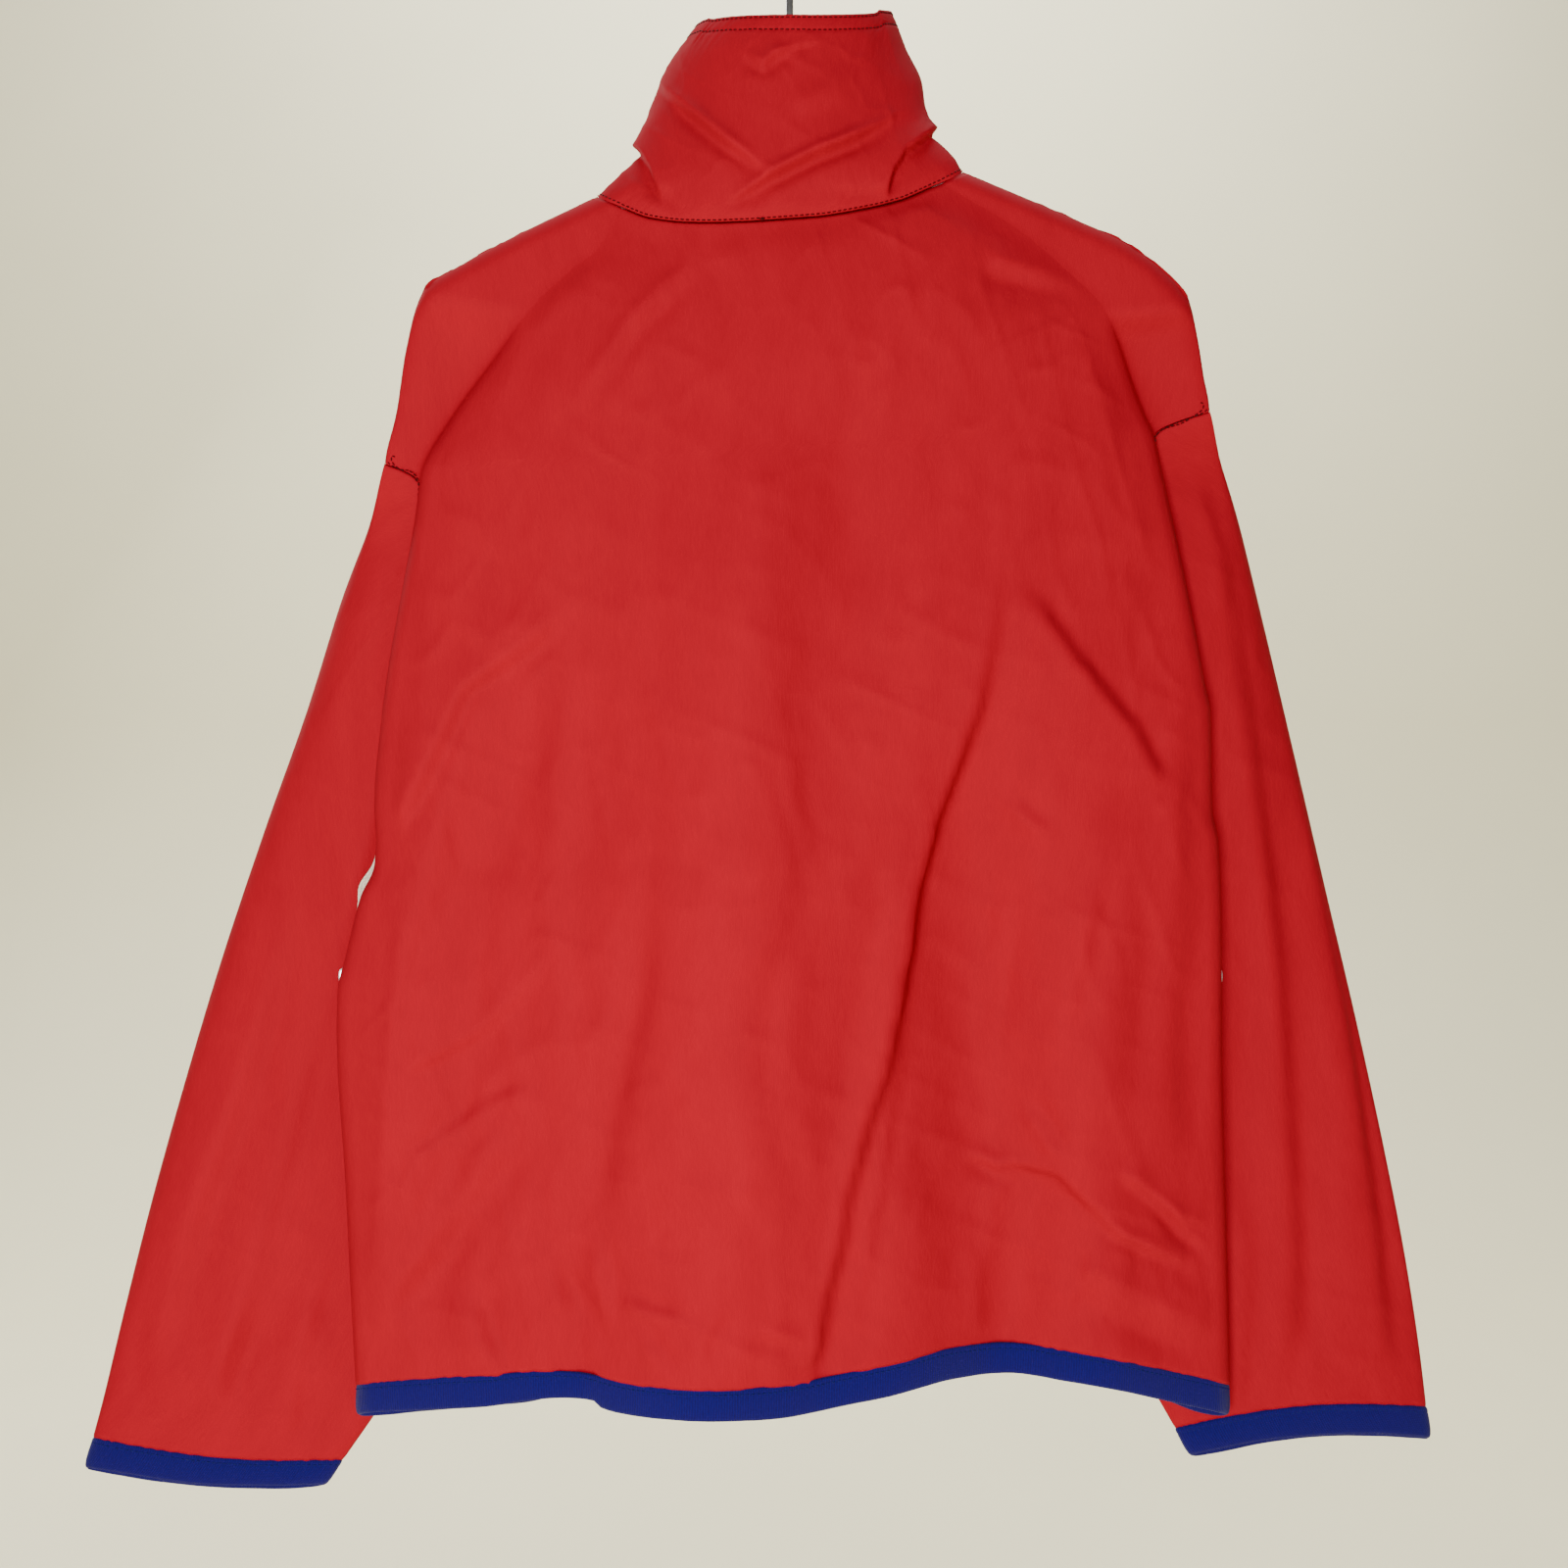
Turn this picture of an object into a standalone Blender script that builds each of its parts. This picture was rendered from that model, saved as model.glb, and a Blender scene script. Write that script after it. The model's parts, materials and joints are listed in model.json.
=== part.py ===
"""A nylon jacket on a plain hanger, seen best from its back.

Every cloth piece is a thin wall lofted through short tables of its own sections.
The garment's front faces -Y and its back faces +Y; +X is the wearer's left.
The origin is the point where the hook hangs, at the inner top of its wire.

Tables are in millimetres. Their "down" is the drop below the origin. The pieces that
show from behind are tabled as they look from EYE on the plane of the hanger, Y = 0,
and carried() takes each point along its line of sight to its own depth.
"""
import math

import bpy
import bmesh
import numpy as np
from mathutils import Matrix, Vector

MM = 0.001

# --- driving dimensions, in millimetres -------------------------------------------
EYE = (3.0, 848.5, -478.0)  # where the tabled outline is seen from
WALL = 1.2  # the cloth with its seam allowances, as one wall
SEAM = 0.32  # between two pieces that are sewn together
BINDING_WALL = 2.2  # a folded knit strip
BINDING_HEIGHT = 15.5
NECK_DOWN_FRONT = 225.0
HEM_DOWN_FRONT = 791.0
FOLD_ROUND = 7.0  # the radius where the back turns over its fold edge
RIDGE_ROUND = 9.0  # of the cloth over the hanger's arms
EDGE_DEPTH = 3.0  # of the back beside its fold edges
FRONT_FLAT = -12.5  # of the fronts beside their side seams
ARMHOLE_DEPTH = 14.0  # from the back seam of an armhole to its front seam
ARMHOLE_SWELL = 11.0  # of the fronts beside the armholes
SIDE_TURN = 8.0  # from the outermost line of a side in to its seam
ZIP_HALF = 4.0  # from the middle of the front zip to a front's edge
CHAIN_WIDTH = 6.4
CHAIN_THICK = 2.0
TAPE_THICK = 0.9
TAPE_REACH = 11.0
STEM_WIRE = 4.0
HOOK_RADIUS = 20.0
ARM_BAR = 8.0
ARMHOLE_SPREAD = 3.0  # how far the front seam runs outside the back one
SLEEVE_CLEAR = 0.6  # more room between a sleeve's edge and the armhole's

SHOULDER_ROWS, STRIP_ROWS, SIDE_ROWS = 5, 5, 15
SLEEVE_HALF = 8  # spaces round half a sleeve, and rows down an armhole
BACK_COLUMNS, TAIL_COLUMNS, FRONT_COLUMNS = 22, 5, 9
SLEEVE_RINGS = 15

# Where a row of the back ends. Stage 0 is the neck corner, 1 the end of the shoulder,
# 2 the top of the armhole, 3 the underarm. The fold is the edge that shows from behind;
# past it the cloth turns out over the dropped shoulder, or in to the armhole seam.
# stage, fold across, fold down, end across, end down, end depth,
# arrives across, arrives depth, fold strength
LEFT_ENDS = (
    (0.00, 91.0, 166.0, 103.7, 160.1, 0.0, -3.0, 4.0, 0.0),
    (0.50, 104.0, 188.0, 151.0, 182.5, 0.0, -3.0, 5.0, 0.0),
    (0.75, 121.0, 202.0, 175.5, 195.6, 0.0, -3.0, 7.0, 0.0),
    (1.00, 139.0, 219.0, 198.6, 210.9, -1.0, -3.0, 9.0, 0.0),
    (1.40, 160.0, 248.0, 208.0, 243.0, -4.0, -4.0, 7.0, 0.8),
    (1.70, 181.0, 277.0, 213.0, 276.0, -6.0, -4.0, 5.0, 1.0),
    (2.00, 198.0, 305.5, 219.2, 304.2, -7.0, -4.0, 3.0, 1.0),
    (2.06, 199.0, 309.0, 211.0, 307.8, -7.5, -1.0, 2.5, 1.0),
    (2.14, 199.8, 313.0, 202.5, 312.5, -9.0, 0.0, 2.5, 1.0),
    (2.30, 202.0, 331.0, 193.0, 331.0, -11.5, 6.0, 0.0, 1.0),
    (2.60, 209.0, 370.0, 189.0, 370.0, -12.0, 8.0, 0.0, 1.0),
    (2.85, 216.0, 408.0, 193.0, 408.0, -12.0, 8.0, 0.0, 1.0),
    (3.00, 220.0, 436.0, 205.0, 436.0, -12.0, 6.0, 0.0, 1.0),
)
RIGHT_ENDS = (
    (0.00, 82.0, 153.0, 93.5, 146.8, 0.0, -3.0, 4.0, 0.0),
    (0.50, 124.0, 178.0, 155.0, 172.5, 0.0, -3.0, 5.0, 0.0),
    (0.75, 148.0, 198.0, 187.0, 188.0, 0.0, -3.0, 7.0, 0.0),
    (1.00, 170.0, 220.0, 216.5, 216.5, -1.0, -3.0, 9.0, 0.0),
    (1.40, 178.5, 239.0, 221.5, 238.0, -4.0, -4.0, 7.0, 0.8),
    (1.70, 185.0, 259.0, 224.5, 257.0, -6.0, -4.0, 5.0, 1.0),
    (2.00, 193.0, 280.0, 227.6, 276.1, -7.0, -4.0, 3.0, 1.0),
    (2.06, 195.0, 284.0, 213.0, 281.0, -7.5, -1.0, 2.5, 1.0),
    (2.14, 197.0, 289.5, 198.0, 288.0, -9.0, 0.0, 2.5, 1.0),
    (2.30, 201.0, 308.0, 187.0, 308.0, -11.5, 6.0, 0.0, 1.0),
    (2.60, 210.0, 349.0, 184.0, 349.0, -12.0, 8.0, 0.0, 1.0),
    (2.85, 219.0, 393.0, 195.0, 393.0, -12.0, 8.0, 0.0, 1.0),
    (3.00, 224.5, 424.0, 208.0, 424.0, -12.0, 6.0, 0.0, 1.0),
)
# The side edges below the underarm: down, edge across.
LEFT_EDGE = (
    (436.0, 220.0),
    (489.0, 224.5),
    (507.0, 223.6),
    (522.0, 224.5),
    (539.0, 231.9),
    (557.0, 236.7),
    (572.0, 240.2),
    (589.0, 244.3),
    (610.0, 244.9),
    (636.0, 244.1),
    (690.0, 240.4),
    (743.0, 237.8),
    (803.5, 234.6),
)
RIGHT_EDGE = (
    (424.0, 224.5),
    (440.0, 227.6),
    (494.0, 228.6),
    (508.0, 231.6),
    (547.5, 233.4),
    (635.0, 233.9),
    (716.6, 236.0),
    (803.5, 238.2),
)
# The neck seam at the back, from the left corner to the right one: along, sag.
NECK_SAG = ((0.0, 0.0), (0.09, 6.9), (0.21, 10.8), (0.325, 12.3), (0.445, 12.9))
NECK_SAG += ((0.6, 13.0), (0.757, 10.8), (0.873, 7.5), (0.975, 1.4), (1.0, 0.0))
# The front neck seam, from the zip to the shoulder: along, out, down, depth.
FRONT_NECK = (
    (0.0, 0.0, 0.0, -62.0),
    (0.25, 0.26, 0.05, -60.0),
    (0.5, 0.52, 0.22, -51.0),
    (0.72, 0.78, 0.50, -35.0),
    (0.87, 0.93, 0.80, -19.0),
    (0.95, 0.985, 0.95, -9.5),
    (1.0, 1.0, 1.0, 0.0),
)
# The top of the hem binding behind: across, lift above the line between the sides.
HEM_LIFT = (
    (-238.0, 0.0),
    (-212.0, 5.4),
    (-179.0, 12.4),
    (-146.0, 18.2),
    (-116.0, 22.4),
    (-90.0, 20.4),
    (-60.0, 11.4),
    (-30.0, 5.0),
    (1.0, -0.4),
    (46.0, -3.2),
    (80.0, -1.2),
    (97.0, 1.6),
    (112.0, 6.8),
    (130.0, 7.4),
    (156.0, 5.4),
    (190.0, 3.4),
    (235.0, 0.0),
)
# The front's hem keeps above the raised part of the back's.
FRONT_HEM_LIFT = (
    (-234.0, 0.0),
    (-222.0, 1.2),
    (-205.0, 7.0),
    (-188.0, 13.0),
    (-168.0, 17.0),
    (-145.0, 17.5),
    (-118.0, 12.5),
    (-90.0, 7.5),
    (-55.0, 2.0),
    (-15.0, 0.0),
)
# How far the middle of the back stands out: down, swell.
BACK_SWELL = ((140.0, 12.0), (200.0, 19.0), (300.0, 27.0), (450.0, 33.0), (620.0, 35.0), (830.0, 32.0))
# How far the fronts stand out over their flat sides: down, swell.
FRONT_SWELL = ((200.0, 46.0), (300.0, 42.0), (450.0, 34.0), (620.0, 32.0), (830.0, 34.0))
# The largest folds of the back: from across, down, to across, down, half width, rise.
BACK_FOLDS = (
    (30.0, 240.0, 52.0, 860.0, 46.0, 18.0),
    (-92.0, 400.0, -113.0, 860.0, 36.0, -24.0),
    (-60.0, 460.0, -10.0, 790.0, 11.0, -4.0),
    (-165.0, 480.0, -175.0, 860.0, 26.0, 5.0),
    (145.0, 395.0, 192.0, 570.0, 18.0, -6.0),
    (156.0, 655.0, 228.0, 775.0, 14.0, -5.0),
    (128.0, 700.0, 108.0, 860.0, 13.0, -6.0),
    (-100.0, 672.0, -222.0, 742.0, 12.0, -4.0),
)
# The fronts hang in soft upright folds: across, half width, rise outwards.
FRONT_FOLDS = ((52.0, 20.0, 7.0), (92.0, 14.0, -7.0), (122.0, 14.0, 5.0))

# The sleeves, from the armhole to the cuff's binding, as they look from behind.
# along, outer across, outer down, inner across, inner down, back depth, front depth
LEFT_SLEEVE = (
    (0.00, 219.2, 304.6, 205.0, 436.6, -13.5, -21.0),
    (0.06, 228.0, 335.0, 207.0, 444.0, -17.5, -38.0),
    (0.14, 242.0, 377.0, 204.0, 460.0, -20.5, -57.0),
    (0.25, 261.0, 438.0, 193.0, 498.0, -25.5, -73.0),
    (0.37, 284.0, 503.0, 176.0, 562.0, -29.0, -80.0),
    (0.50, 308.0, 575.0, 160.0, 620.0, -30.0, -78.0),
    (0.62, 328.0, 642.0, 164.0, 675.0, -29.0, -70.0),
    (0.74, 346.0, 707.0, 176.0, 730.0, -27.0, -60.0),
    (0.85, 360.5, 765.0, 197.0, 778.0, -24.0, -50.0),
    (0.94, 371.5, 811.0, 223.0, 817.0, -22.0, -42.0),
    (1.00, 377.1, 832.0, 242.0, 844.3, -21.0, -38.0),
)
RIGHT_SLEEVE = (
    (0.00, 227.6, 276.5, 208.0, 424.6, -13.5, -21.0),
    (0.06, 234.0, 300.0, 210.0, 432.0, -17.5, -38.0),
    (0.14, 243.0, 336.0, 207.0, 448.0, -20.5, -57.0),
    (0.25, 257.5, 396.0, 195.0, 486.0, -25.5, -73.0),
    (0.37, 274.0, 466.0, 178.0, 550.0, -29.0, -80.0),
    (0.50, 290.5, 537.0, 160.0, 605.0, -30.0, -78.0),
    (0.62, 306.0, 603.0, 161.0, 660.0, -29.0, -70.0),
    (0.74, 321.5, 674.0, 167.0, 715.0, -27.0, -60.0),
    (0.85, 333.5, 736.0, 178.0, 763.0, -24.0, -50.0),
    (0.94, 341.0, 785.0, 194.0, 800.0, -22.0, -42.0),
    (1.00, 344.7, 815.7, 209.0, 827.3, -21.0, -38.0),
)
CUFF_SAG = {"left": 5.0, "right": -6.0}  # of the cuff's seam, below its corners

# The collar, by level from the neck seam to its top edge.
# level, left across, right across, depth at the sides, behind, before
COLLAR = (
    (0.00, 103.7, -93.5, 0.0, 24.0, -62.0),
    (0.22, 84.0, -79.0, -3.0, 25.0, -67.0),
    (0.34, 80.0, -74.0, -7.0, 25.0, -70.0),
    (0.55, 74.0, -71.5, -14.0, 24.0, -74.0),
    (0.80, 65.0, -62.5, -20.0, 23.0, -75.0),
    (1.00, 51.0, -55.5, -22.0, 21.0, -74.0),
)
# The top edge's drop: behind, at the left and right side, and at the zip.
COLLAR_TOP_BACK, COLLAR_TOP_LEFT, COLLAR_TOP_RIGHT, COLLAR_TOP_FRONT = 72.0, 57.0, 48.0, 104.0
COLLAR_LEVELS = (0.0, 0.1, 0.22, 0.36, 0.55, 0.78, 1.0)
# How far a ring has left the neck seam's own line: level, share.
COLLAR_FLARE = ((0.0, 0.0), (0.1, 0.8), (0.22, 1.0), (1.0, 1.0))

# The hanger's arms: across, down of the bar's middle.
ARMS = (
    (-196.0, 204.5),
    (-182.0, 194.8),
    (-155.0, 181.5),
    (-125.0, 169.0),
    (-92.0, 156.5),
    (-45.0, 140.0),
    (0.0, 132.5),
    (45.0, 145.5),
    (100.0, 168.0),
    (127.0, 180.3),
    (155.0, 194.0),
    (184.0, 209.5),
)

# Side pockets: the strip's run down each side, where the slider stands on it.
POCKET_FROM, POCKET_TO, POCKET_SLIDER = 516.0, 655.0, 583.0
POCKET_STRIP = 6.0
STRIP_THICK = 1.0
STRIP_CLEAR = 0.7  # between a strip and the rounded side that it is sewn to

# Zip sliders: body across, thick, tall; the bail's wire; the pull's own frame.
SLIDER = {"across": 8.0, "thick": 2.8, "tall": 11.0, "rise": 0.4}
BAIL_WIRE = 1.2
BAIL_HEIGHT = 2.6
BAIL_HALF = 3.4  # of its span up the zip
BAIL_SUNK = 0.9  # into the slider's body, where it joins
PULL_BAR = 1.2
PULL_RIM = 1.3  # beside the slot in a pull
PULL_CORNER = 1.2  # cut off its lower corners
PULL_FOOT, PULL_SLOT = 3.5, 9.0  # left below its slot, and the slot's greatest length
PULL_AXIS = 4.4  # from the zip's face to the pull's axis
FRONT_PULL = (6.4, 24.0)  # across, long
POCKET_PULL = (5.6, 12.0)


# --- curves and places ---------------------------------------------------------------
def curve(table, where):
    """Reads a table's columns along its first one, on a smooth curve that never overshoots."""
    table = np.asarray(table, dtype=float)
    knots, values = table[:, 0], table[:, 1:]
    rises = np.diff(values, axis=0) / np.diff(knots)[:, None]
    before, after = rises[:-1], rises[1:]
    shared = 2 * before * after / np.where(before * after > 0, before + after, 1.0)
    slopes = np.concatenate([rises[:1], np.where(before * after > 0, shared, 0.0), rises[-1:]])
    where = np.clip(np.asarray(where, dtype=float), knots[0], knots[-1])
    i = np.clip(np.searchsorted(knots, where, side="right") - 1, 0, len(knots) - 2)
    span = (knots[i + 1] - knots[i])[..., None]
    t = (where[..., None] - knots[i][..., None]) / span
    start = (1 + 2 * t) * (1 - t) ** 2 * values[i] + t * (1 - t) ** 2 * span * slopes[i]
    end = t * t * (3 - 2 * t) * values[i + 1] + t * t * (t - 1) * span * slopes[i + 1]
    return start + end


def value(table, where):
    return curve(table, where)[..., 0]


def ease(low, high, where):
    t = np.clip((np.asarray(where, dtype=float) - low) / (high - low), 0, 1)
    return t * t * (3 - 2 * t)


def carried(across, down, depth):
    """Takes a point seen on the hanger's plane to its own depth."""
    nearer = (EYE[1] - depth) / EYE[1]
    x = EYE[0] + (across - EYE[0]) * nearer
    z = EYE[2] + (-down - EYE[2]) * nearer
    return np.stack([x, depth + 0 * x, z], axis=-1)


def fold_rise(folds, across, down):
    """Adds up long folds, each dying away at its upper end and sideways."""
    total = np.zeros(np.broadcast(across, down).shape)
    for x0, d0, x1, d1, half, rise in folds:
        along = ((across - x0) * (x1 - x0) + (down - d0) * (d1 - d0)) / ((x1 - x0) ** 2 + (d1 - d0) ** 2)
        near = np.clip(along, 0, 1)
        off = np.hypot(across - x0 - near * (x1 - x0), down - d0 - near * (d1 - d0))
        total += rise * np.exp(-((off / half) ** 2)) * ease(0.0, 0.35, along)
    return total


# --- the body's rows -------------------------------------------------------------------
def stages():
    """The rows from the neck to the hem, the same on every panel so that seams match."""
    half_turn = np.linspace(0, np.pi, SLEEVE_HALF + 1)
    armhole = 2 + (1 - np.cos(half_turn)) / 2
    return np.concatenate(
        [
            np.linspace(0, 1, SHOULDER_ROWS + 1)[:-1],
            np.linspace(1, 2, STRIP_ROWS + 1)[:-1],
            armhole,
            np.linspace(3, 4, SIDE_ROWS + 1)[1:],
        ]
    )


def side_ends(side, stage):
    """One row's fold and end on one side: eight columns of the ends' table."""
    ends, edge = (LEFT_ENDS, LEFT_EDGE) if side == "left" else (RIGHT_ENDS, RIGHT_EDGE)
    if stage <= 3:
        return curve(ends, stage)
    down = edge[0][0] + (stage - 3) * (edge[-1][0] - edge[0][0])
    across = value(edge, down)
    turn = SIDE_TURN + (ends[-1][1] - ends[-1][3] - SIDE_TURN) * math.exp(-(down - edge[0][0]) / 14)
    return np.array([across, down, across - turn, down, -12.0, turn * 0.5, 0.0, 1.0])


def sign(side):
    return 1.0 if side == "left" else -1.0


def end_point(side, stage):
    """The seam point at a row's end."""
    ends = side_ends(side, stage)
    return carried(sign(side) * ends[2], ends[3], ends[4])


def ridge_round(side, stage, across, down):
    """0 on the ridge of a shoulder and 1 past its rounding: the cloth's turn over the hanger."""
    ridge = curve(LEFT_ENDS if side == "left" else RIGHT_ENDS, np.linspace(0, 2, 21))[:, 2:4]
    start, step = ridge[:-1], np.diff(ridge, axis=0)
    point = np.stack([sign(side) * across, down], axis=-1)[..., None, :]
    along = np.clip(((point - start) * step).sum(-1) / (step**2).sum(-1), 0, 1)
    off = np.linalg.norm(point - start - along[..., None] * step, axis=-1).min(-1)
    turn = np.sqrt(1 - (1 - np.clip(off / RIDGE_ROUND, 0, 1)) ** 2)
    return 1 - (1 - turn) * (1 - ease(2.0, 2.35, stage))


def back_depth(across, down, left, right, stage):
    """How far out the back lies between its two fold edges."""
    middle, half = (left + right) / 2, (left - right) / 2
    out = np.clip(np.abs(across - middle) / half, 0, 1)
    swell = value(BACK_SWELL, down) * (1 - out**2.3)
    folds = fold_rise(BACK_FOLDS, across, down) * ease(0, 30, half - np.abs(across - middle))
    over_hanger = (RIDGE_ROUND - EDGE_DEPTH) * (1 - ease(1.0, 1.8, stage))
    return EDGE_DEPTH + over_hanger + swell * (1 - 0.35 * (1 - ease(0, 1, stage))) + folds


def back_row(stage):
    """One row of the back, from its left seam over both fold edges to its right seam."""
    left, right = side_ends("left", stage), side_ends("right", stage)
    along = np.linspace(0, 1, BACK_COLUMNS + 1)
    along = 0.65 * (1 - np.cos(np.pi * along)) / 2 + 0.35 * along
    across = left[0] + (-right[0] - left[0]) * along
    down = left[1] + (right[1] - left[1]) * along
    down = down + value(NECK_SAG, along) * (1 - ease(0.0, 2.2, stage))
    down = down - value(HEM_LIFT, across) * ease(2.6, 4.0, stage) ** 2
    depth = back_depth(across, down, left[0], -right[0], stage)
    from_edge = np.minimum(left[0] - across, across + right[0])
    strength = left[7] + (right[7] - left[7]) * along
    turn = 1 - np.sqrt(1 - (1 - np.clip(from_edge / FOLD_ROUND, 0, 1)) ** 2)
    depth = depth - FOLD_ROUND * strength * turn
    main = np.stack([across, down, depth], axis=-1)
    row = np.concatenate([tail("left", left, main)[::-1], main[1:-1], tail("right", right, main[::-1])])
    for side, ends in (("left", left), ("right", right)):
        rounded = ridge_round(side, stage, row[:, 0], row[:, 1])
        row[:, 2] = ends[4] + (row[:, 2] - ends[4]) * rounded
    return carried(row[:, 0], row[:, 1], row[:, 2])


def tail(side, ends, main):
    """From the fold edge to the seam: straight on where there is no fold, or round it."""
    way, start = sign(side), main[0]
    end = np.array([way * ends[2], ends[3], ends[4]])
    w = np.linspace(0, 1, TAIL_COLUMNS + 1)[:, None]
    w = 1 - (1 - w) ** (2 - ends[7])
    reach = np.linalg.norm(end - start)
    flat_end = end + np.array([0.0, 0.0, (start - end)[2]]) * (1 - ends[7])
    leave_flat = (flat_end - start) / 3
    leave_fold = np.array([0.2 * way, 0.0, -1.0]) * min(FOLD_ROUND, 0.6 * reach)
    leave = start + leave_flat + (leave_fold - leave_flat) * ends[7]
    arrive_flat = flat_end - leave_flat
    arrive_fold = end + np.array([way * ends[5], 0.0, ends[6]])
    arrive = arrive_flat + (arrive_fold - arrive_flat) * ends[7]
    end = flat_end
    return (1 - w) ** 3 * start + 3 * w * (1 - w) ** 2 * leave + 3 * w * w * (1 - w) * arrive + w**3 * end


def opened(stage):
    """How far an armhole is open at a stage: 0 at its two ends and 1 in its middle."""
    return 2 * math.sqrt(max((stage - 2) * (3 - stage), 0.0))


def front_end_point(side, stage):
    """The front panel's own seam point, which parts from the back's along the armhole."""
    apart = opened(stage)
    spread = np.array([sign(side) * ARMHOLE_SPREAD * apart, -ARMHOLE_DEPTH * apart**0.5, 0.0])
    return end_point(side, stage) + spread


def front_row(side, stage):
    """One row of a front, from the zip to its outer seam."""
    way, end = sign(side), front_end_point(side, stage)
    zip_down = np.interp(stage, [0, 1, 2, 3, 4], [NECK_DOWN_FRONT, 285, 350, 455, HEM_DOWN_FRONT])
    u = 1 - np.linspace(1, 0, FRONT_COLUMNS + 1) ** (1.1 + 0.7 * (1 - ease(1.6, 2.2, stage)))
    x = ZIP_HALF + (way * end[0] - ZIP_HALF) * u
    down = zip_down + (-end[2] - zip_down) * u
    down = down - value(FRONT_HEM_LIFT, way * x) * ease(2.6, 4.0, stage) ** 2
    out, fall, neck_depth = curve(FRONT_NECK, u).T
    neck = 1 - ease(0.0, 1.3, stage)
    x = x + (ZIP_HALF + (way * end[0] - ZIP_HALF) * out - x) * neck
    down = down + (zip_down + (-end[2] - zip_down) * fall - down) * neck
    beside = ease(1.2, 2.5, stage) * (1 - ease(2.92, 3.08, stage)) * ease(90, 165, x)
    flat = FRONT_FLAT - ARMHOLE_SWELL * beside
    bulge = value(FRONT_SWELL, down) * (1 - ease(60, 152, x))
    folds = sum(r * np.exp(-(((x - at) / half) ** 2)) for at, half, r in FRONT_FOLDS)
    depth = flat - bulge - folds * ease(2.2, 3.6, stage)
    depth = depth + (neck_depth - depth) * (1 - ease(0.0, 0.8, stage))
    settle = 1 - ease(0, 24, way * end[0] - x)
    depth = depth + (end[1] - depth) * settle * ease(1.9, 2.1, stage)
    rounded = ridge_round(side, stage, way * x, down)
    depth = end[1] + (depth - end[1]) * rounded
    return np.stack([way * x, depth, -down], axis=-1)


# --- the sleeves --------------------------------------------------------------------------
def plain_ring(side, along):
    """One ring of a sleeve, from its outer line over the back and round by the front."""
    table = LEFT_SLEEVE if side == "left" else RIGHT_SLEEVE
    out_x, out_down, in_x, in_down, back, front = curve(table, along)
    turn = np.linspace(0, 2 * np.pi, 2 * SLEEVE_HALF + 1)[:-1]
    inward = (1 - np.cos(turn)) / 2
    side_on = np.sin(turn)
    depth = (back + front) / 2 + (back - front) / 2 * np.sign(side_on) * np.abs(side_on) ** 0.8
    sag = CUFF_SAG[side] * np.sin(np.pi * inward) * ease(0.7, 1.0, along)
    down = out_down + (in_down - out_down) * inward + sag
    points = carried(sign(side) * (out_x + (in_x - out_x) * inward), down, depth)
    return points, inward, side_on >= 0


def sleeve_ring(side, along):
    """A sleeve's ring, with the first ones drawn onto the armhole's seam."""
    points, inward, behind = plain_ring(side, along)
    keep = 1 - ease(0.0, 0.16, along)
    if keep > 0:
        seam = np.array([armhole_point(side, 2 + s, b) for s, b in zip(inward, behind)])
        shift = seam - plain_ring(side, 0.0)[0]
        points = points + shift * np.array([keep, 1 - ease(0.0, 0.08, along), keep])
    return points


def armhole_point(side, stage, behind):
    """The sleeve's own edge, just clear of the panel that it is sewn to."""
    apart = ease(2.05, 2.35, stage)
    below = SEAM + SLEEVE_CLEAR * (1 - apart)
    outward = sign(side) * (SEAM + SLEEVE_CLEAR)
    if stage == 3:
        return end_point(side, stage) + np.array([outward, -5.0, -1.0])
    if behind:
        outward = (outward + sign(side) * ARMHOLE_SPREAD * opened(stage)) * ease(2.75, 2.95, stage)
        return end_point(side, stage) + np.array([outward, -(WALL + SEAM + 0.5) * apart, -below])
    return front_end_point(side, stage) + np.array([outward, -0.3 * apart, -below])


# --- meshes -----------------------------------------------------------------------------------
def new_material(name, colour, roughness, metallic=0.0):
    material = bpy.data.materials.new(name)
    material.use_nodes = True
    shader = material.node_tree.nodes["Principled BSDF"]
    shader.inputs["Base Color"].default_value = (*colour, 1.0)
    shader.inputs["Roughness"].default_value = roughness
    shader.inputs["Metallic"].default_value = metallic
    return material


def add_object(name, data, material):
    item = bpy.data.objects.new(name, data)
    item.data.materials.append(material)
    parts.objects.link(item)
    return item


def wall(name, rows, thick, material, ring=False, flip=False):
    """A lofted sheet through rows of points, thickened towards its inner side."""
    rows = np.asarray(rows) * MM
    count, width = rows.shape[:2]
    mesh = bpy.data.meshes.new(name)
    faces = []
    for r in range(count - 1):
        for c in range(width if ring else width - 1):
            n = (c + 1) % width
            face = (r * width + c, (r + 1) * width + c, (r + 1) * width + n, r * width + n)
            faces.append(face[::-1] if flip else face)
    mesh.from_pydata(rows.reshape(-1, 3).tolist(), [], faces)
    mesh.shade_smooth()
    item = add_object(name, mesh, material)
    solid = item.modifiers.new("wall", "SOLIDIFY")
    solid.thickness = thick * MM
    solid.offset = -1.0
    return item


def drawn_in(rows, top=0.0, bottom=0.0, start=0.0, end=0.0):
    """Draws a grid's borders in by part of a seam's gap."""
    rows = np.array(rows)

    def nudge(border, inner, by):
        step = inner - border
        return border + step * by / np.maximum(np.linalg.norm(step, axis=-1, keepdims=True), 1e-6)

    rows[0], rows[-1] = nudge(rows[0], rows[1], top), nudge(rows[-1], rows[-2], bottom)
    rows[:, 0], rows[:, -1] = nudge(rows[:, 0], rows[:, 1], start), nudge(rows[:, -1], rows[:, -2], end)
    return rows


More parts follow.
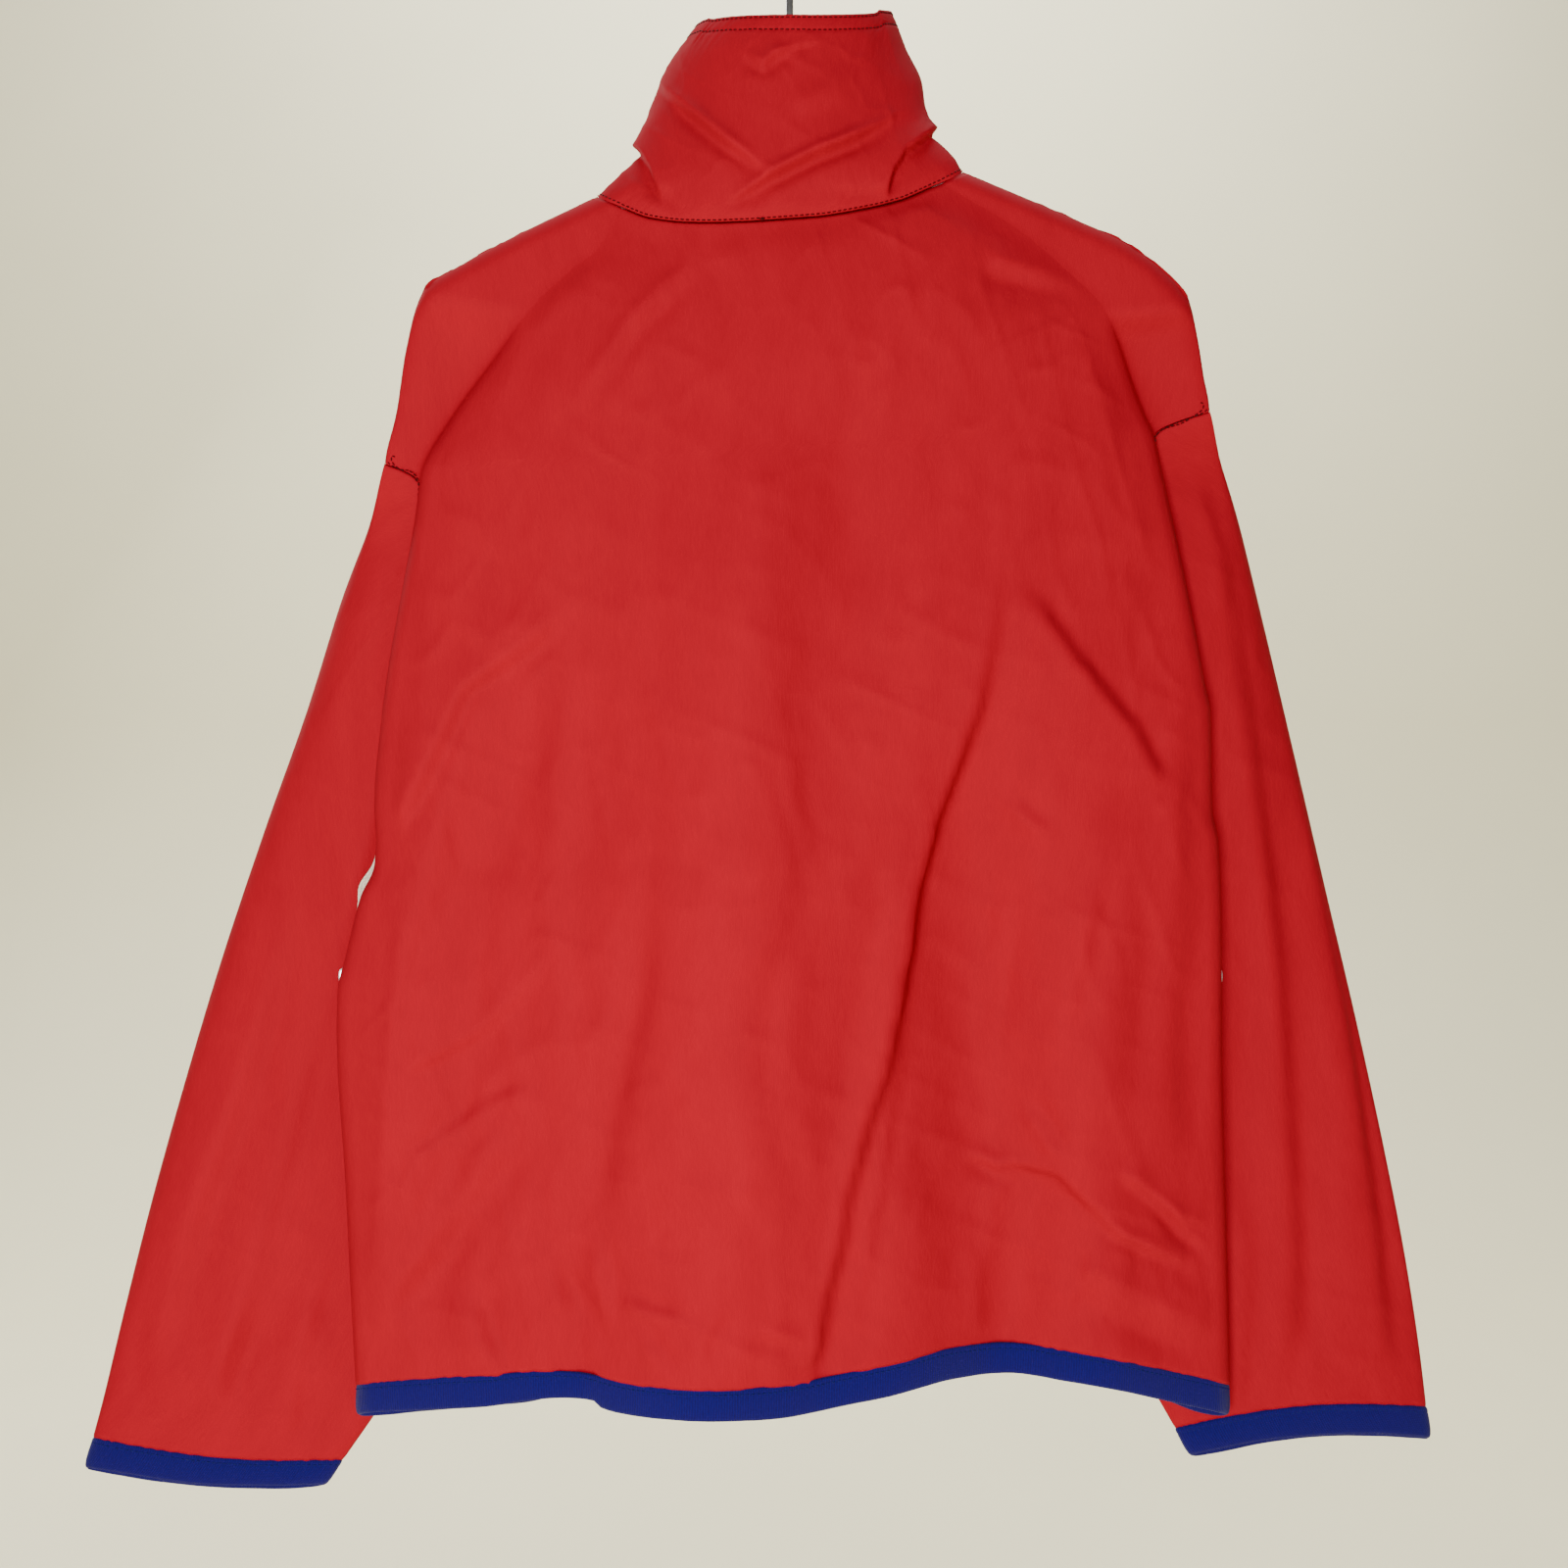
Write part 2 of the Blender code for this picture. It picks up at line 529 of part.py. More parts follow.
# --- the jacket's pieces ------------------------------------------------------------------------
def build_body(cloth):
    rows = stages()
    back = np.array([back_row(stage) for stage in rows])
    at_side = np.where(rows < 2, 2 * SEAM, SEAM)[:, None]
    wall("back", drawn_in(back, SEAM, SEAM, at_side, at_side), WALL, cloth)
    fronts = {}
    for side in ("left", "right"):
        front = np.array([front_row(side, stage) for stage in rows])
        fronts[side] = front
        wall(f"front_{side}", drawn_in(front, SEAM, SEAM, 0, at_side), WALL, cloth, flip=side == "right")
    return back, fronts


def build_sleeves(cloth):
    cuffs = {}
    for side in ("left", "right"):
        along = np.linspace(0, 1, SLEEVE_RINGS + 1) ** 1.15
        rings = np.array([sleeve_ring(side, a) for a in along])
        wall(f"sleeve_{side}", drawn_in(rings, 0, SEAM), WALL, cloth, ring=True, flip=side == "right")
        cuffs[side] = rings[-2:]
    return cuffs


def neck_line(back, fronts):
    """The neck seam all round, from the zip over the left shoulder to the zip again."""
    return np.concatenate([fronts["left"][0], back[0][1:-1], fronts["right"][0][::-1]])


def collar_rows(base):
    """Rings from the neck seam up to the top edge, open at the zip."""
    left, right = base[:, 0].max(), base[:, 0].min()
    cross = np.clip((2 * base[:, 0] - left - right) / (left - right), -1, 1)
    ahead = np.sqrt(1 - cross**2) * np.where(base[:, 1] < 0, -1, 1)
    side_top = (COLLAR_TOP_LEFT + COLLAR_TOP_RIGHT + (COLLAR_TOP_LEFT - COLLAR_TOP_RIGHT) * cross) / 2
    top_down = side_top + (COLLAR_TOP_BACK - side_top) * np.maximum(ahead, 0)
    top_down = top_down + (COLLAR_TOP_FRONT - side_top) * np.maximum(-ahead, 0) ** 4
    rows = []
    for level in COLLAR_LEVELS:
        left, right, side, behind, before = curve(COLLAR, level)
        x = (left + right) / 2 + (left - right) / 2 * cross
        y = side + np.where(ahead > 0, behind - side, side - before) * ahead
        down = -base[:, 2] + (top_down + base[:, 2]) * level
        row = np.stack([carried(x, down, y)[:, 0], y, -down], axis=-1)
        row = base + (row - base) * value(COLLAR_FLARE, level)
        row[0, 0], row[-1, 0] = ZIP_HALF, -ZIP_HALF
        rows.append(row)
    return np.array(rows)


def build_collar(base, cloth):
    rows = collar_rows(base)
    wall("collar", drawn_in(rows, SEAM, 0, 0, 0), WALL, cloth, flip=True)
    return rows


def build_bindings(back, fronts, cuffs, knit):
    hem = np.concatenate([fronts["left"][-1], back[-1][1:-1], fronts["right"][-1][::-1]])
    drop = np.array([0.0, 0.0, -1.0])
    top = hem + drop * SEAM
    middle, bottom = hem + drop * BINDING_HEIGHT / 2, hem + drop * BINDING_HEIGHT
    wall("hem_binding", np.array([top, middle, bottom]), BINDING_WALL, knit)
    for side, rings in cuffs.items():
        down = rings[1] - rings[0]
        down = down / np.linalg.norm(down, axis=1, keepdims=True)
        strip = [rings[1] + down * far for far in (3 * SEAM, BINDING_HEIGHT / 2, BINDING_HEIGHT)]
        wall(f"cuff_binding_{side}", strip, BINDING_WALL, knit, ring=True, flip=side == "right")


# --- zips ------------------------------------------------------------------------------------------
def along_row(row, distance):
    """The point at a distance from a row's first point; a negative one runs out past it."""
    steps = np.linalg.norm(np.diff(row, axis=0), axis=1)
    if distance < 0:
        return row[0] + (row[0] - row[1]) / steps[0] * -distance
    walked = np.concatenate([[0], np.cumsum(steps)])
    return np.array([np.interp(distance, walked, row[:, k]) for k in range(3)])


def build_front_zip(collar, fronts, tape, teeth):
    inside = WALL + 2 * SEAM
    edges = {}
    for side, columns in (("left", collar), ("right", collar[:, ::-1])):
        rows = np.concatenate([columns[::-1, : FRONT_COLUMNS + 1], fronts[side][1:]])
        edges[side] = rows
        spans = (-(ZIP_HALF - CHAIN_WIDTH / 2 - SEAM), 2.0, TAPE_REACH / 2, TAPE_REACH)
        strip = [[along_row(row, far) for far in spans] for row in rows]
        strip = np.array(strip) + np.array([0.0, inside, 0.0])
        wall(f"zip_tape_{side}", strip, TAPE_THICK, tape, flip=side == "right")
    middle = (edges["left"][:, 0] + edges["right"][:, 0]) / 2
    half = np.array([CHAIN_WIDTH / 2, 0.0, 0.0])
    chain = np.stack([middle - half, middle, middle + half], axis=1) + np.array([0.0, 0.35, 0.0])
    wall("zip_chain", chain, CHAIN_THICK, teeth)
    return middle


def slider_frame(at, outward, up):
    """Axes of a slider: local X is the pull's axis, Y points outwards, Z runs up the zip."""
    y = Vector(outward).normalized()
    z = (Vector(up) - y * Vector(up).dot(y)).normalized()
    x = y.cross(z)
    place = Matrix((x, y, z)).transposed().to_4x4()
    place.translation = Vector(at) * MM
    return place


def wire(name, points, radius, sides=2):
    line = bpy.data.curves.new(name, "CURVE")
    line.dimensions = "3D"
    line.bevel_depth = radius * MM
    line.bevel_resolution = sides
    line.use_fill_caps = True
    spline = line.splines.new("POLY")
    spline.points.add(len(points) - 1)
    for point, place in zip(spline.points, points):
        point.co = (*(Vector(place) * MM), 1.0)
    return line


def curve_to_mesh(item):
    """Makes a wire a closed mesh, with its caps welded on."""
    shape = item.evaluated_get(bpy.context.evaluated_depsgraph_get())
    mesh = bpy.data.meshes.new_from_object(shape)
    work = bmesh.new()
    work.from_mesh(mesh)
    bmesh.ops.remove_doubles(work, verts=work.verts, dist=1e-6)
    work.to_mesh(mesh)
    work.free()
    copy = bpy.data.objects.new(item.name + "_mesh", mesh)
    copy.matrix_world = item.matrix_world
    bpy.data.objects.remove(item)
    return copy


def build_slider(name, place, metal):
    """The slider's body with the bail that the pull hangs in."""
    mesh = bpy.data.meshes.new(name)
    work = bmesh.new()
    size = Matrix.Diagonal((SLIDER["across"] * MM, SLIDER["thick"] * MM, SLIDER["tall"] * MM, 1))
    bmesh.ops.create_cube(work, size=1.0, matrix=size)
    work.to_mesh(mesh)
    work.free()
    body = add_object(name, mesh, metal)
    middle = SLIDER["rise"] + SLIDER["thick"] / 2
    body.matrix_world = place @ Matrix.Translation((0, middle * MM, 0))
    rounded = body.modifiers.new("rounded", "BEVEL")
    rounded.width = 0.6 * MM
    rounded.segments = 1
    top = SLIDER["rise"] + SLIDER["thick"]
    arch = []
    for step in range(9):
        turn = math.pi * step / 8
        height = top - BAIL_SUNK + (BAIL_HEIGHT + BAIL_SUNK) * math.sin(turn)
        arch.append((0.0, height, BAIL_HALF * math.cos(turn)))
    bail = bpy.data.objects.new(name + "_bail", wire(name + "_bail", arch, BAIL_WIRE / 2))
    cutters.objects.link(bail)
    bail.matrix_world = place
    bpy.context.view_layer.update()
    bail = curve_to_mesh(bail)
    cutters.objects.link(bail)
    bail.hide_render = True
    bail.display_type = "WIRE"
    join = body.modifiers.new("bail", "BOOLEAN")
    join.operation = "UNION"
    join.object = bail
    return body


def build_pull(name, place, size, metal):
    """A flat frame on a crossbar, hanging from the bail."""
    across, long = size
    line = bpy.data.curves.new(name, "CURVE")
    line.dimensions = "2D"
    line.fill_mode = "BOTH"
    line.extrude = PULL_BAR / 2 * MM
    half = across / 2
    corner = PULL_CORNER
    outer = [(-half, PULL_BAR / 2), (half, PULL_BAR / 2), (half, corner - long), (half - corner, -long)]
    outer += [(corner - half, -long), (-half, corner - long)]
    slot = min(PULL_SLOT, long - PULL_FOOT)
    inner_half = half - PULL_RIM
    inner = [(-inner_half, -PULL_BAR / 2), (-inner_half, -slot), (inner_half, -slot), (inner_half, -PULL_BAR / 2)]
    for outline in (outer, inner):
        spline = line.splines.new("POLY")
        spline.points.add(len(outline) - 1)
        spline.use_cyclic_u = True
        for point, (x, y) in zip(spline.points, outline):
            point.co = (x * MM, y * MM, 0.0, 1.0)
    item = add_object(name, line, metal)
    stand = Matrix.Rotation(math.pi / 2, 4, "X")
    item.matrix_world = place @ Matrix.Translation((0, PULL_AXIS * MM, 0)) @ stand
    return item


def side_row(side, back, down):
    """The back's own row at a drop below the underarm, from that side's seam inwards."""
    edge = LEFT_EDGE if side == "left" else RIGHT_EDGE
    steps = stages()
    stage = 3 + (down - edge[0][0]) / (edge[-1][0] - edge[0][0])
    after = int(np.searchsorted(steps, stage))
    part = (stage - steps[after - 1]) / (steps[after] - steps[after - 1])
    row = back[after - 1] + (back[after] - back[after - 1]) * part
    return row if side == "left" else row[::-1]


def build_pocket(side, back, strip_stuff, metal):
    """A strip along the side, just outside the back's turn, with its slider and pull."""
    way = sign(side)
    edge = LEFT_EDGE if side == "left" else RIGHT_EDGE
    drops = edge[0][0] + (edge[-1][0] - edge[0][0]) * np.linspace(0, 1, SIDE_ROWS + 1)
    inside = drops[(drops > POCKET_FROM + 5) & (drops < POCKET_TO - 5)]
    rows = []
    for down in (POCKET_FROM, *inside, POCKET_TO):
        turn = side_row(side, back, down)
        lift = STRIP_CLEAR + STRIP_THICK
        line = []
        for distance in np.linspace(1.0, 1.0 + POCKET_STRIP, 4):
            point = along_row(turn, distance)
            ahead, behind = along_row(turn, distance + 0.5), along_row(turn, distance - 0.5)
            tangent = ahead - behind
            normal = np.array([tangent[1], -tangent[0], 0.0]) * way
            normal = normal / np.linalg.norm(normal)
            line.append(point + normal * lift)
        rows.append(line)
    rows = np.array(rows)
    wall(f"pocket_strip_{side}", rows, STRIP_THICK, strip_stuff, flip=side == "right")
    turn = side_row(side, back, POCKET_SLIDER)
    middle = along_row(turn, 1.0 + POCKET_STRIP / 2)
    tangent = along_row(turn, 5.5) - along_row(turn, 3.5)
    outward = np.array([tangent[1], -tangent[0], 0.0]) * way
    outward = outward / np.linalg.norm(outward)
    place = slider_frame(middle + outward * (STRIP_CLEAR + STRIP_THICK + 0.1), outward, (0, 0, 1))
    build_slider(f"pocket_slider_{side}", place, metal)
    build_pull(f"pocket_pull_{side}", place, POCKET_PULL, metal)


# --- the hanger ------------------------------------------------------------------------------------
def build_hanger(metal, bar_stuff):
    arms = [(x, 0.0, -value(ARMS, x)) for x in np.linspace(ARMS[0][0], ARMS[-1][0], 25)]
    add_object("hanger_arms", wire("hanger_arms", arms, ARM_BAR / 2, 3), bar_stuff)
    wire_half = STEM_WIRE / 2
    centre = wire_half - HOOK_RADIUS
    hook = []
    for step in range(17):
        turn = math.radians(200 - 270 * step / 16)
        hook.append((HOOK_RADIUS * math.cos(turn), 0.0, centre + HOOK_RADIUS * math.sin(turn)))
    foot = -(value(ARMS, 0.0) - ARM_BAR / 2 - SEAM)
    hook += [(0.0, 0.0, centre - HOOK_RADIUS - STEM_WIRE), (0.0, 0.0, foot)]
    add_object("hanger_hook", wire("hanger_hook", hook, wire_half, 2), metal)


for item in list(bpy.data.objects):
    bpy.data.objects.remove(item)
parts = bpy.data.collections.new("nylon_jacket")
cutters = bpy.data.collections.new("cutters")
bpy.context.scene.collection.children.link(parts)
bpy.context.scene.collection.children.link(cutters)

RED = new_material("red_nylon", (0.55, 0.025, 0.03), 0.6)
BLUE = new_material("blue_knit", (0.005, 0.01, 0.2), 0.85)
TAPE = new_material("red_zip_tape", (0.42, 0.02, 0.025), 0.8)
CREAM = new_material("cream_tape", (0.8, 0.74, 0.6), 0.8)
METAL = new_material("zip_metal", (0.5, 0.5, 0.5), 0.35, 1.0)
WIRE_METAL = new_material("hanger_wire", (0.6, 0.6, 0.6), 0.3, 1.0)
BAR = new_material("hanger_bar", (0.75, 0.74, 0.72), 0.5)

back_rows, front_rows = build_body(RED)
cuff_rings = build_sleeves(RED)
collar = build_collar(neck_line(back_rows, front_rows), RED)
build_bindings(back_rows, front_rows, cuff_rings, BLUE)
zip_line = build_front_zip(collar, front_rows, TAPE, TAPE)
front_slider = slider_frame(zip_line[1], (0, -1, 0), (0, 0, 1))
build_slider("zip_slider", front_slider, METAL)
build_pull("zip_pull", front_slider, FRONT_PULL, METAL)
for pocket_side in ("left", "right"):
    build_pocket(pocket_side, back_rows, CREAM, METAL)
build_hanger(WIRE_METAL, BAR)
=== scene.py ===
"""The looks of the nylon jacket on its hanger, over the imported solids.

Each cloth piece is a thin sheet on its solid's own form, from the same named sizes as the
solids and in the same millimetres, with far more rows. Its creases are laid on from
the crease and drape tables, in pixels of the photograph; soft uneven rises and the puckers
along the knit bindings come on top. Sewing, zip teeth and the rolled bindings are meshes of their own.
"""
import json
import math

import bpy
import numpy as np
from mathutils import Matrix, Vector


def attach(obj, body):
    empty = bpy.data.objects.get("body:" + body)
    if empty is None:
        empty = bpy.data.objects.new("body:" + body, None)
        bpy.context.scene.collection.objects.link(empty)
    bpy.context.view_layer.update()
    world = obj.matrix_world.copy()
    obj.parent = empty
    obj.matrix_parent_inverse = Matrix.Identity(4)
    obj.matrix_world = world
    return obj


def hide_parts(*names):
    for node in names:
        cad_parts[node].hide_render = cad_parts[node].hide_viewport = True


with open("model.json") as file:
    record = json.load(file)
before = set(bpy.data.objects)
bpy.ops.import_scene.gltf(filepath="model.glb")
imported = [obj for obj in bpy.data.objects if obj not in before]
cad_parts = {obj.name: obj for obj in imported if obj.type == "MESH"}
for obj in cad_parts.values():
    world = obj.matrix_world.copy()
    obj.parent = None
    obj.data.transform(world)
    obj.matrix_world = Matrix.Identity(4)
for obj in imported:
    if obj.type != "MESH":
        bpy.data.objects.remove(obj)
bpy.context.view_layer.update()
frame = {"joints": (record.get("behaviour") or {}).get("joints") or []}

MM = 0.001
SIDES = "left", "right"

# --- driving dimensions, in millimetres -------------------------------------------
EYE = (3.0, 848.5, -478.0)  # where the tabled outline is seen from
WALL = 1.2  # the cloth with its seam allowances, as one wall
SEAM = 0.15  # between two pieces that are sewn together
NECK_DOWN_FRONT = 225.0
HEM_DOWN_FRONT = 791.0
FOLD_ROUND = 7.0  # the radius where the back turns over its fold edge
RIDGE_ROUND = 9.0  # of the cloth over the hanger's arms
EDGE_DEPTH = 3.0  # of the back beside its fold edges
FRONT_FLAT = -12.5  # of the fronts beside their side seams
ARMHOLE_DEPTH = 14.0  # from the back seam of an armhole to its front seam
ARMHOLE_SWELL = 11.0  # of the fronts beside the armholes
SIDE_TURN = 8.0  # from the outermost line of a side in to its seam
ZIP_HALF = 4.0  # from the middle of the front zip to a front's edge
CHAIN_WIDTH = 6.4
TAPE_REACH = 11.0
STEM_WIRE = 4.0
HOOK_RADIUS = 20.0
ARM_BAR = 8.0
ARM_TIP, HOOK_TIP = (1.6, 3.0, 3.7), (1.0, 1.6, 1.9)  # the radii at their rounded ends
ARMHOLE_SPREAD = 3.0  # how far the front seam runs outside the back one
SLEEVE_CLEAR = 0.15  # more room between a sleeve's edge and the armhole's

# How many spaces each stretch of a grid has.
SHOULDER_ROWS, STRIP_ROWS, SIDE_ROWS = 34, 24, 150
SLEEVE_HALF = 56  # spaces round half a sleeve, and rows down an armhole
BACK_COLUMNS, TAIL_COLUMNS, FRONT_COLUMNS = 156, 14, 90
SLEEVE_RINGS = 190

# Where a row of the back ends. Stage 0 is the neck corner, 1 the end of the shoulder,
# 2 the top of the armhole, 3 the underarm. The fold is the edge that shows from behind;
# past it the cloth turns out over the dropped shoulder, or in to the armhole seam.
# stage, fold across, fold down, end across, end down, end depth,
# arrives across, arrives depth, fold strength
LEFT_ENDS = (
    (0.00, 91.0, 166.0, 103.7, 160.1, 0.0, -3.0, 4.0, 0.0),
    (0.50, 104.0, 188.0, 151.0, 182.5, 0.0, -3.0, 5.0, 0.0),
    (0.75, 121.0, 202.0, 175.5, 195.6, 0.0, -3.0, 7.0, 0.0),
    (1.00, 139.0, 219.0, 198.6, 210.9, -1.0, -3.0, 9.0, 0.0),
    (1.40, 160.0, 248.0, 208.0, 243.0, -4.0, -4.0, 7.0, 0.8),
    (1.70, 181.0, 277.0, 213.0, 276.0, -6.0, -4.0, 5.0, 1.0),
    (2.00, 198.0, 305.5, 219.2, 304.2, -7.0, -4.0, 3.0, 1.0),
    (2.06, 199.0, 309.0, 211.0, 307.8, -7.5, -1.0, 2.5, 1.0),
    (2.14, 199.8, 313.0, 202.5, 312.5, -9.0, 0.0, 2.5, 1.0),
    (2.30, 202.0, 331.0, 193.0, 331.0, -11.5, 6.0, 0.0, 1.0),
    (2.60, 209.0, 370.0, 189.0, 370.0, -12.0, 8.0, 0.0, 1.0),
    (2.85, 216.0, 408.0, 193.0, 408.0, -12.0, 8.0, 0.0, 1.0),
    (3.00, 220.0, 436.0, 205.0, 436.0, -12.0, 6.0, 0.0, 1.0),
)
RIGHT_ENDS = (
    (0.00, 82.0, 153.0, 93.5, 146.8, 0.0, -3.0, 4.0, 0.0),
    (0.50, 124.0, 178.0, 155.0, 172.5, 0.0, -3.0, 5.0, 0.0),
    (0.75, 148.0, 198.0, 187.0, 188.0, 0.0, -3.0, 7.0, 0.0),
    (1.00, 170.0, 220.0, 216.5, 216.5, -1.0, -3.0, 9.0, 0.0),
    (1.40, 178.5, 239.0, 221.5, 238.0, -4.0, -4.0, 7.0, 0.8),
    (1.70, 185.0, 259.0, 224.5, 257.0, -6.0, -4.0, 5.0, 1.0),
    (2.00, 193.0, 280.0, 227.6, 276.1, -7.0, -4.0, 3.0, 1.0),
    (2.06, 195.0, 284.0, 213.0, 281.0, -7.5, -1.0, 2.5, 1.0),
    (2.14, 197.0, 289.5, 198.0, 288.0, -9.0, 0.0, 2.5, 1.0),
    (2.30, 201.0, 308.0, 187.0, 308.0, -11.5, 6.0, 0.0, 1.0),
    (2.60, 210.0, 349.0, 184.0, 349.0, -12.0, 8.0, 0.0, 1.0),
    (2.85, 219.0, 393.0, 195.0, 393.0, -12.0, 8.0, 0.0, 1.0),
    (3.00, 224.5, 424.0, 208.0, 424.0, -12.0, 6.0, 0.0, 1.0),
)
# The side edges below the underarm: down, edge across.
LEFT_EDGE = (
    (436.0, 220.0),
    (489.0, 224.5),
    (507.0, 223.6),
    (522.0, 224.5),
    (539.0, 231.9),
    (557.0, 236.7),
    (572.0, 240.2),
    (589.0, 244.3),
    (610.0, 244.9),
    (636.0, 244.1),
    (690.0, 240.4),
    (743.0, 237.8),
    (803.5, 234.6),
)
RIGHT_EDGE = (
    (424.0, 224.5),
    (440.0, 227.6),
    (494.0, 228.6),
    (508.0, 231.6),
    (547.5, 233.4),
    (635.0, 233.9),
    (716.6, 236.0),
    (803.5, 238.2),
)
# The neck seam at the back, from the left corner to the right one: along, sag.
NECK_SAG = ((0.0, 0.0), (0.09, 6.9), (0.21, 10.8), (0.325, 12.3), (0.445, 12.9))
NECK_SAG += ((0.6, 13.0), (0.757, 10.8), (0.873, 7.5), (0.975, 1.4), (1.0, 0.0))
# The front neck seam, from the zip to the shoulder: along, out, down, depth.
FRONT_NECK = (
    (0.0, 0.0, 0.0, -62.0),
    (0.25, 0.26, 0.05, -60.0),
    (0.5, 0.52, 0.22, -51.0),
    (0.72, 0.78, 0.50, -35.0),
    (0.87, 0.93, 0.80, -19.0),
    (0.95, 0.985, 0.95, -9.5),
    (1.0, 1.0, 1.0, 0.0),
)
# The top of the hem binding behind: across, lift above the line between the sides.
HEM_LIFT = (
    (-238.0, 0.0),
    (-212.0, 5.4),
    (-179.0, 12.4),
    (-146.0, 18.2),
    (-116.0, 22.4),
    (-90.0, 20.4),
    (-60.0, 11.4),
    (-30.0, 5.0),
    (1.0, -0.4),
    (46.0, -3.2),
    (80.0, -1.2),
    (97.0, 1.6),
    (112.0, 6.8),
    (130.0, 7.4),
    (156.0, 5.4),
    (190.0, 3.4),
    (235.0, 0.0),
)
# The front's hem keeps above the raised part of the back's.
FRONT_HEM_LIFT = (
    (-234.0, 0.0),
    (-222.0, 1.2),
    (-205.0, 7.0),
    (-188.0, 13.0),
    (-168.0, 17.0),
    (-145.0, 17.5),
    (-118.0, 12.5),
    (-90.0, 7.5),
    (-55.0, 2.0),
    (-15.0, 0.0),
)
# How far the middle of the back stands out: down, swell.
BACK_SWELL = ((140.0, 12.0), (200.0, 19.0), (300.0, 27.0), (450.0, 33.0), (620.0, 35.0), (830.0, 32.0))
# How far the fronts stand out over their flat sides: down, swell.
FRONT_SWELL = ((200.0, 46.0), (300.0, 42.0), (450.0, 34.0), (620.0, 32.0), (830.0, 34.0))
# The largest folds of the back: from across, down, to across, down, half width, rise.
BACK_FOLDS = (
    (30.0, 240.0, 52.0, 860.0, 46.0, 18.0),
    (-92.0, 400.0, -113.0, 860.0, 36.0, -24.0),
    (-60.0, 460.0, -10.0, 790.0, 11.0, -4.0),
    (-165.0, 480.0, -175.0, 860.0, 26.0, 5.0),
    (145.0, 395.0, 192.0, 570.0, 18.0, -6.0),
    (156.0, 655.0, 228.0, 775.0, 14.0, -5.0),
    (128.0, 700.0, 108.0, 860.0, 13.0, -6.0),
    (-100.0, 672.0, -222.0, 742.0, 12.0, -4.0),
)
# The fronts hang in soft upright folds: across, half width, rise outwards.
FRONT_FOLDS = ((52.0, 20.0, 7.0), (92.0, 14.0, -7.0), (122.0, 14.0, 5.0))

# The sleeves, from the armhole to the cuff's binding, as they look from behind.
# along, outer across, outer down, inner across, inner down, back depth, front depth
LEFT_SLEEVE = (
    (0.00, 219.2, 304.6, 205.0, 436.6, -13.5, -21.0),
    (0.06, 228.0, 335.0, 207.0, 444.0, -17.5, -38.0),
    (0.14, 242.0, 377.0, 204.0, 460.0, -20.5, -57.0),
    (0.25, 261.0, 438.0, 193.0, 498.0, -25.5, -73.0),
    (0.37, 284.0, 503.0, 176.0, 562.0, -29.0, -80.0),
    (0.50, 308.0, 575.0, 160.0, 620.0, -30.0, -78.0),
    (0.62, 328.0, 642.0, 164.0, 675.0, -29.0, -70.0),
    (0.74, 346.0, 707.0, 176.0, 730.0, -27.0, -60.0),
    (0.85, 360.5, 765.0, 197.0, 778.0, -24.0, -50.0),
    (0.94, 371.5, 811.0, 223.0, 817.0, -22.0, -42.0),
    (1.00, 377.1, 832.0, 242.0, 844.3, -21.0, -38.0),
)
RIGHT_SLEEVE = (
    (0.00, 227.6, 276.5, 208.0, 424.6, -13.5, -21.0),
    (0.06, 234.0, 300.0, 210.0, 432.0, -17.5, -38.0),
    (0.14, 243.0, 336.0, 207.0, 448.0, -20.5, -57.0),
    (0.25, 257.5, 396.0, 195.0, 486.0, -25.5, -73.0),
    (0.37, 274.0, 466.0, 178.0, 550.0, -29.0, -80.0),
    (0.50, 290.5, 537.0, 160.0, 605.0, -30.0, -78.0),
    (0.62, 306.0, 603.0, 161.0, 660.0, -29.0, -70.0),
    (0.74, 321.5, 674.0, 167.0, 715.0, -27.0, -60.0),
    (0.85, 333.5, 736.0, 178.0, 763.0, -24.0, -50.0),
    (0.94, 341.0, 785.0, 194.0, 800.0, -22.0, -42.0),
    (1.00, 344.7, 815.7, 209.0, 827.3, -21.0, -38.0),
)
CUFF_SAG = {"left": 5.0, "right": -6.0}  # of the cuff's seam, below its corners

# The collar, by level from the neck seam to its top edge.
# level, left across, right across, depth at the sides, behind, before
COLLAR = (
    (0.00, 103.7, -93.5, 0.0, 24.0, -62.0),
    (0.22, 84.0, -79.0, -3.0, 25.0, -67.0),
    (0.34, 80.0, -74.0, -7.0, 25.0, -70.0),
    (0.55, 74.0, -71.5, -14.0, 24.0, -74.0),
    (0.80, 65.0, -62.5, -20.0, 23.0, -75.0),
    (1.00, 51.0, -55.5, -22.0, 21.0, -74.0),
)
# The top edge's drop: behind, at the left and right side, and at the zip.
COLLAR_TOP_BACK, COLLAR_TOP_LEFT, COLLAR_TOP_RIGHT, COLLAR_TOP_FRONT = 72.0, 57.0, 48.0, 104.0
COLLAR_LEVELS = np.concatenate(
    [np.linspace(0, 0.06, 6)[:-1], np.linspace(0.06, 0.9, 72)[:-1], np.linspace(0.9, 1, 14)]
)
# How far a ring has left the neck seam's own line: level, share.
COLLAR_FLARE = ((0.0, 0.0), (0.1, 0.8), (0.22, 1.0), (1.0, 1.0))

# The hanger's arms: across, down of the bar's middle.
ARMS = (
    (-196.0, 204.5),
    (-182.0, 194.8),
    (-155.0, 181.5),
    (-125.0, 169.0),
    (-92.0, 156.5),
    (-45.0, 140.0),
    (0.0, 132.5),
    (45.0, 145.5),
    (100.0, 168.0),
    (127.0, 180.3),
    (155.0, 194.0),
    (184.0, 209.5),
)

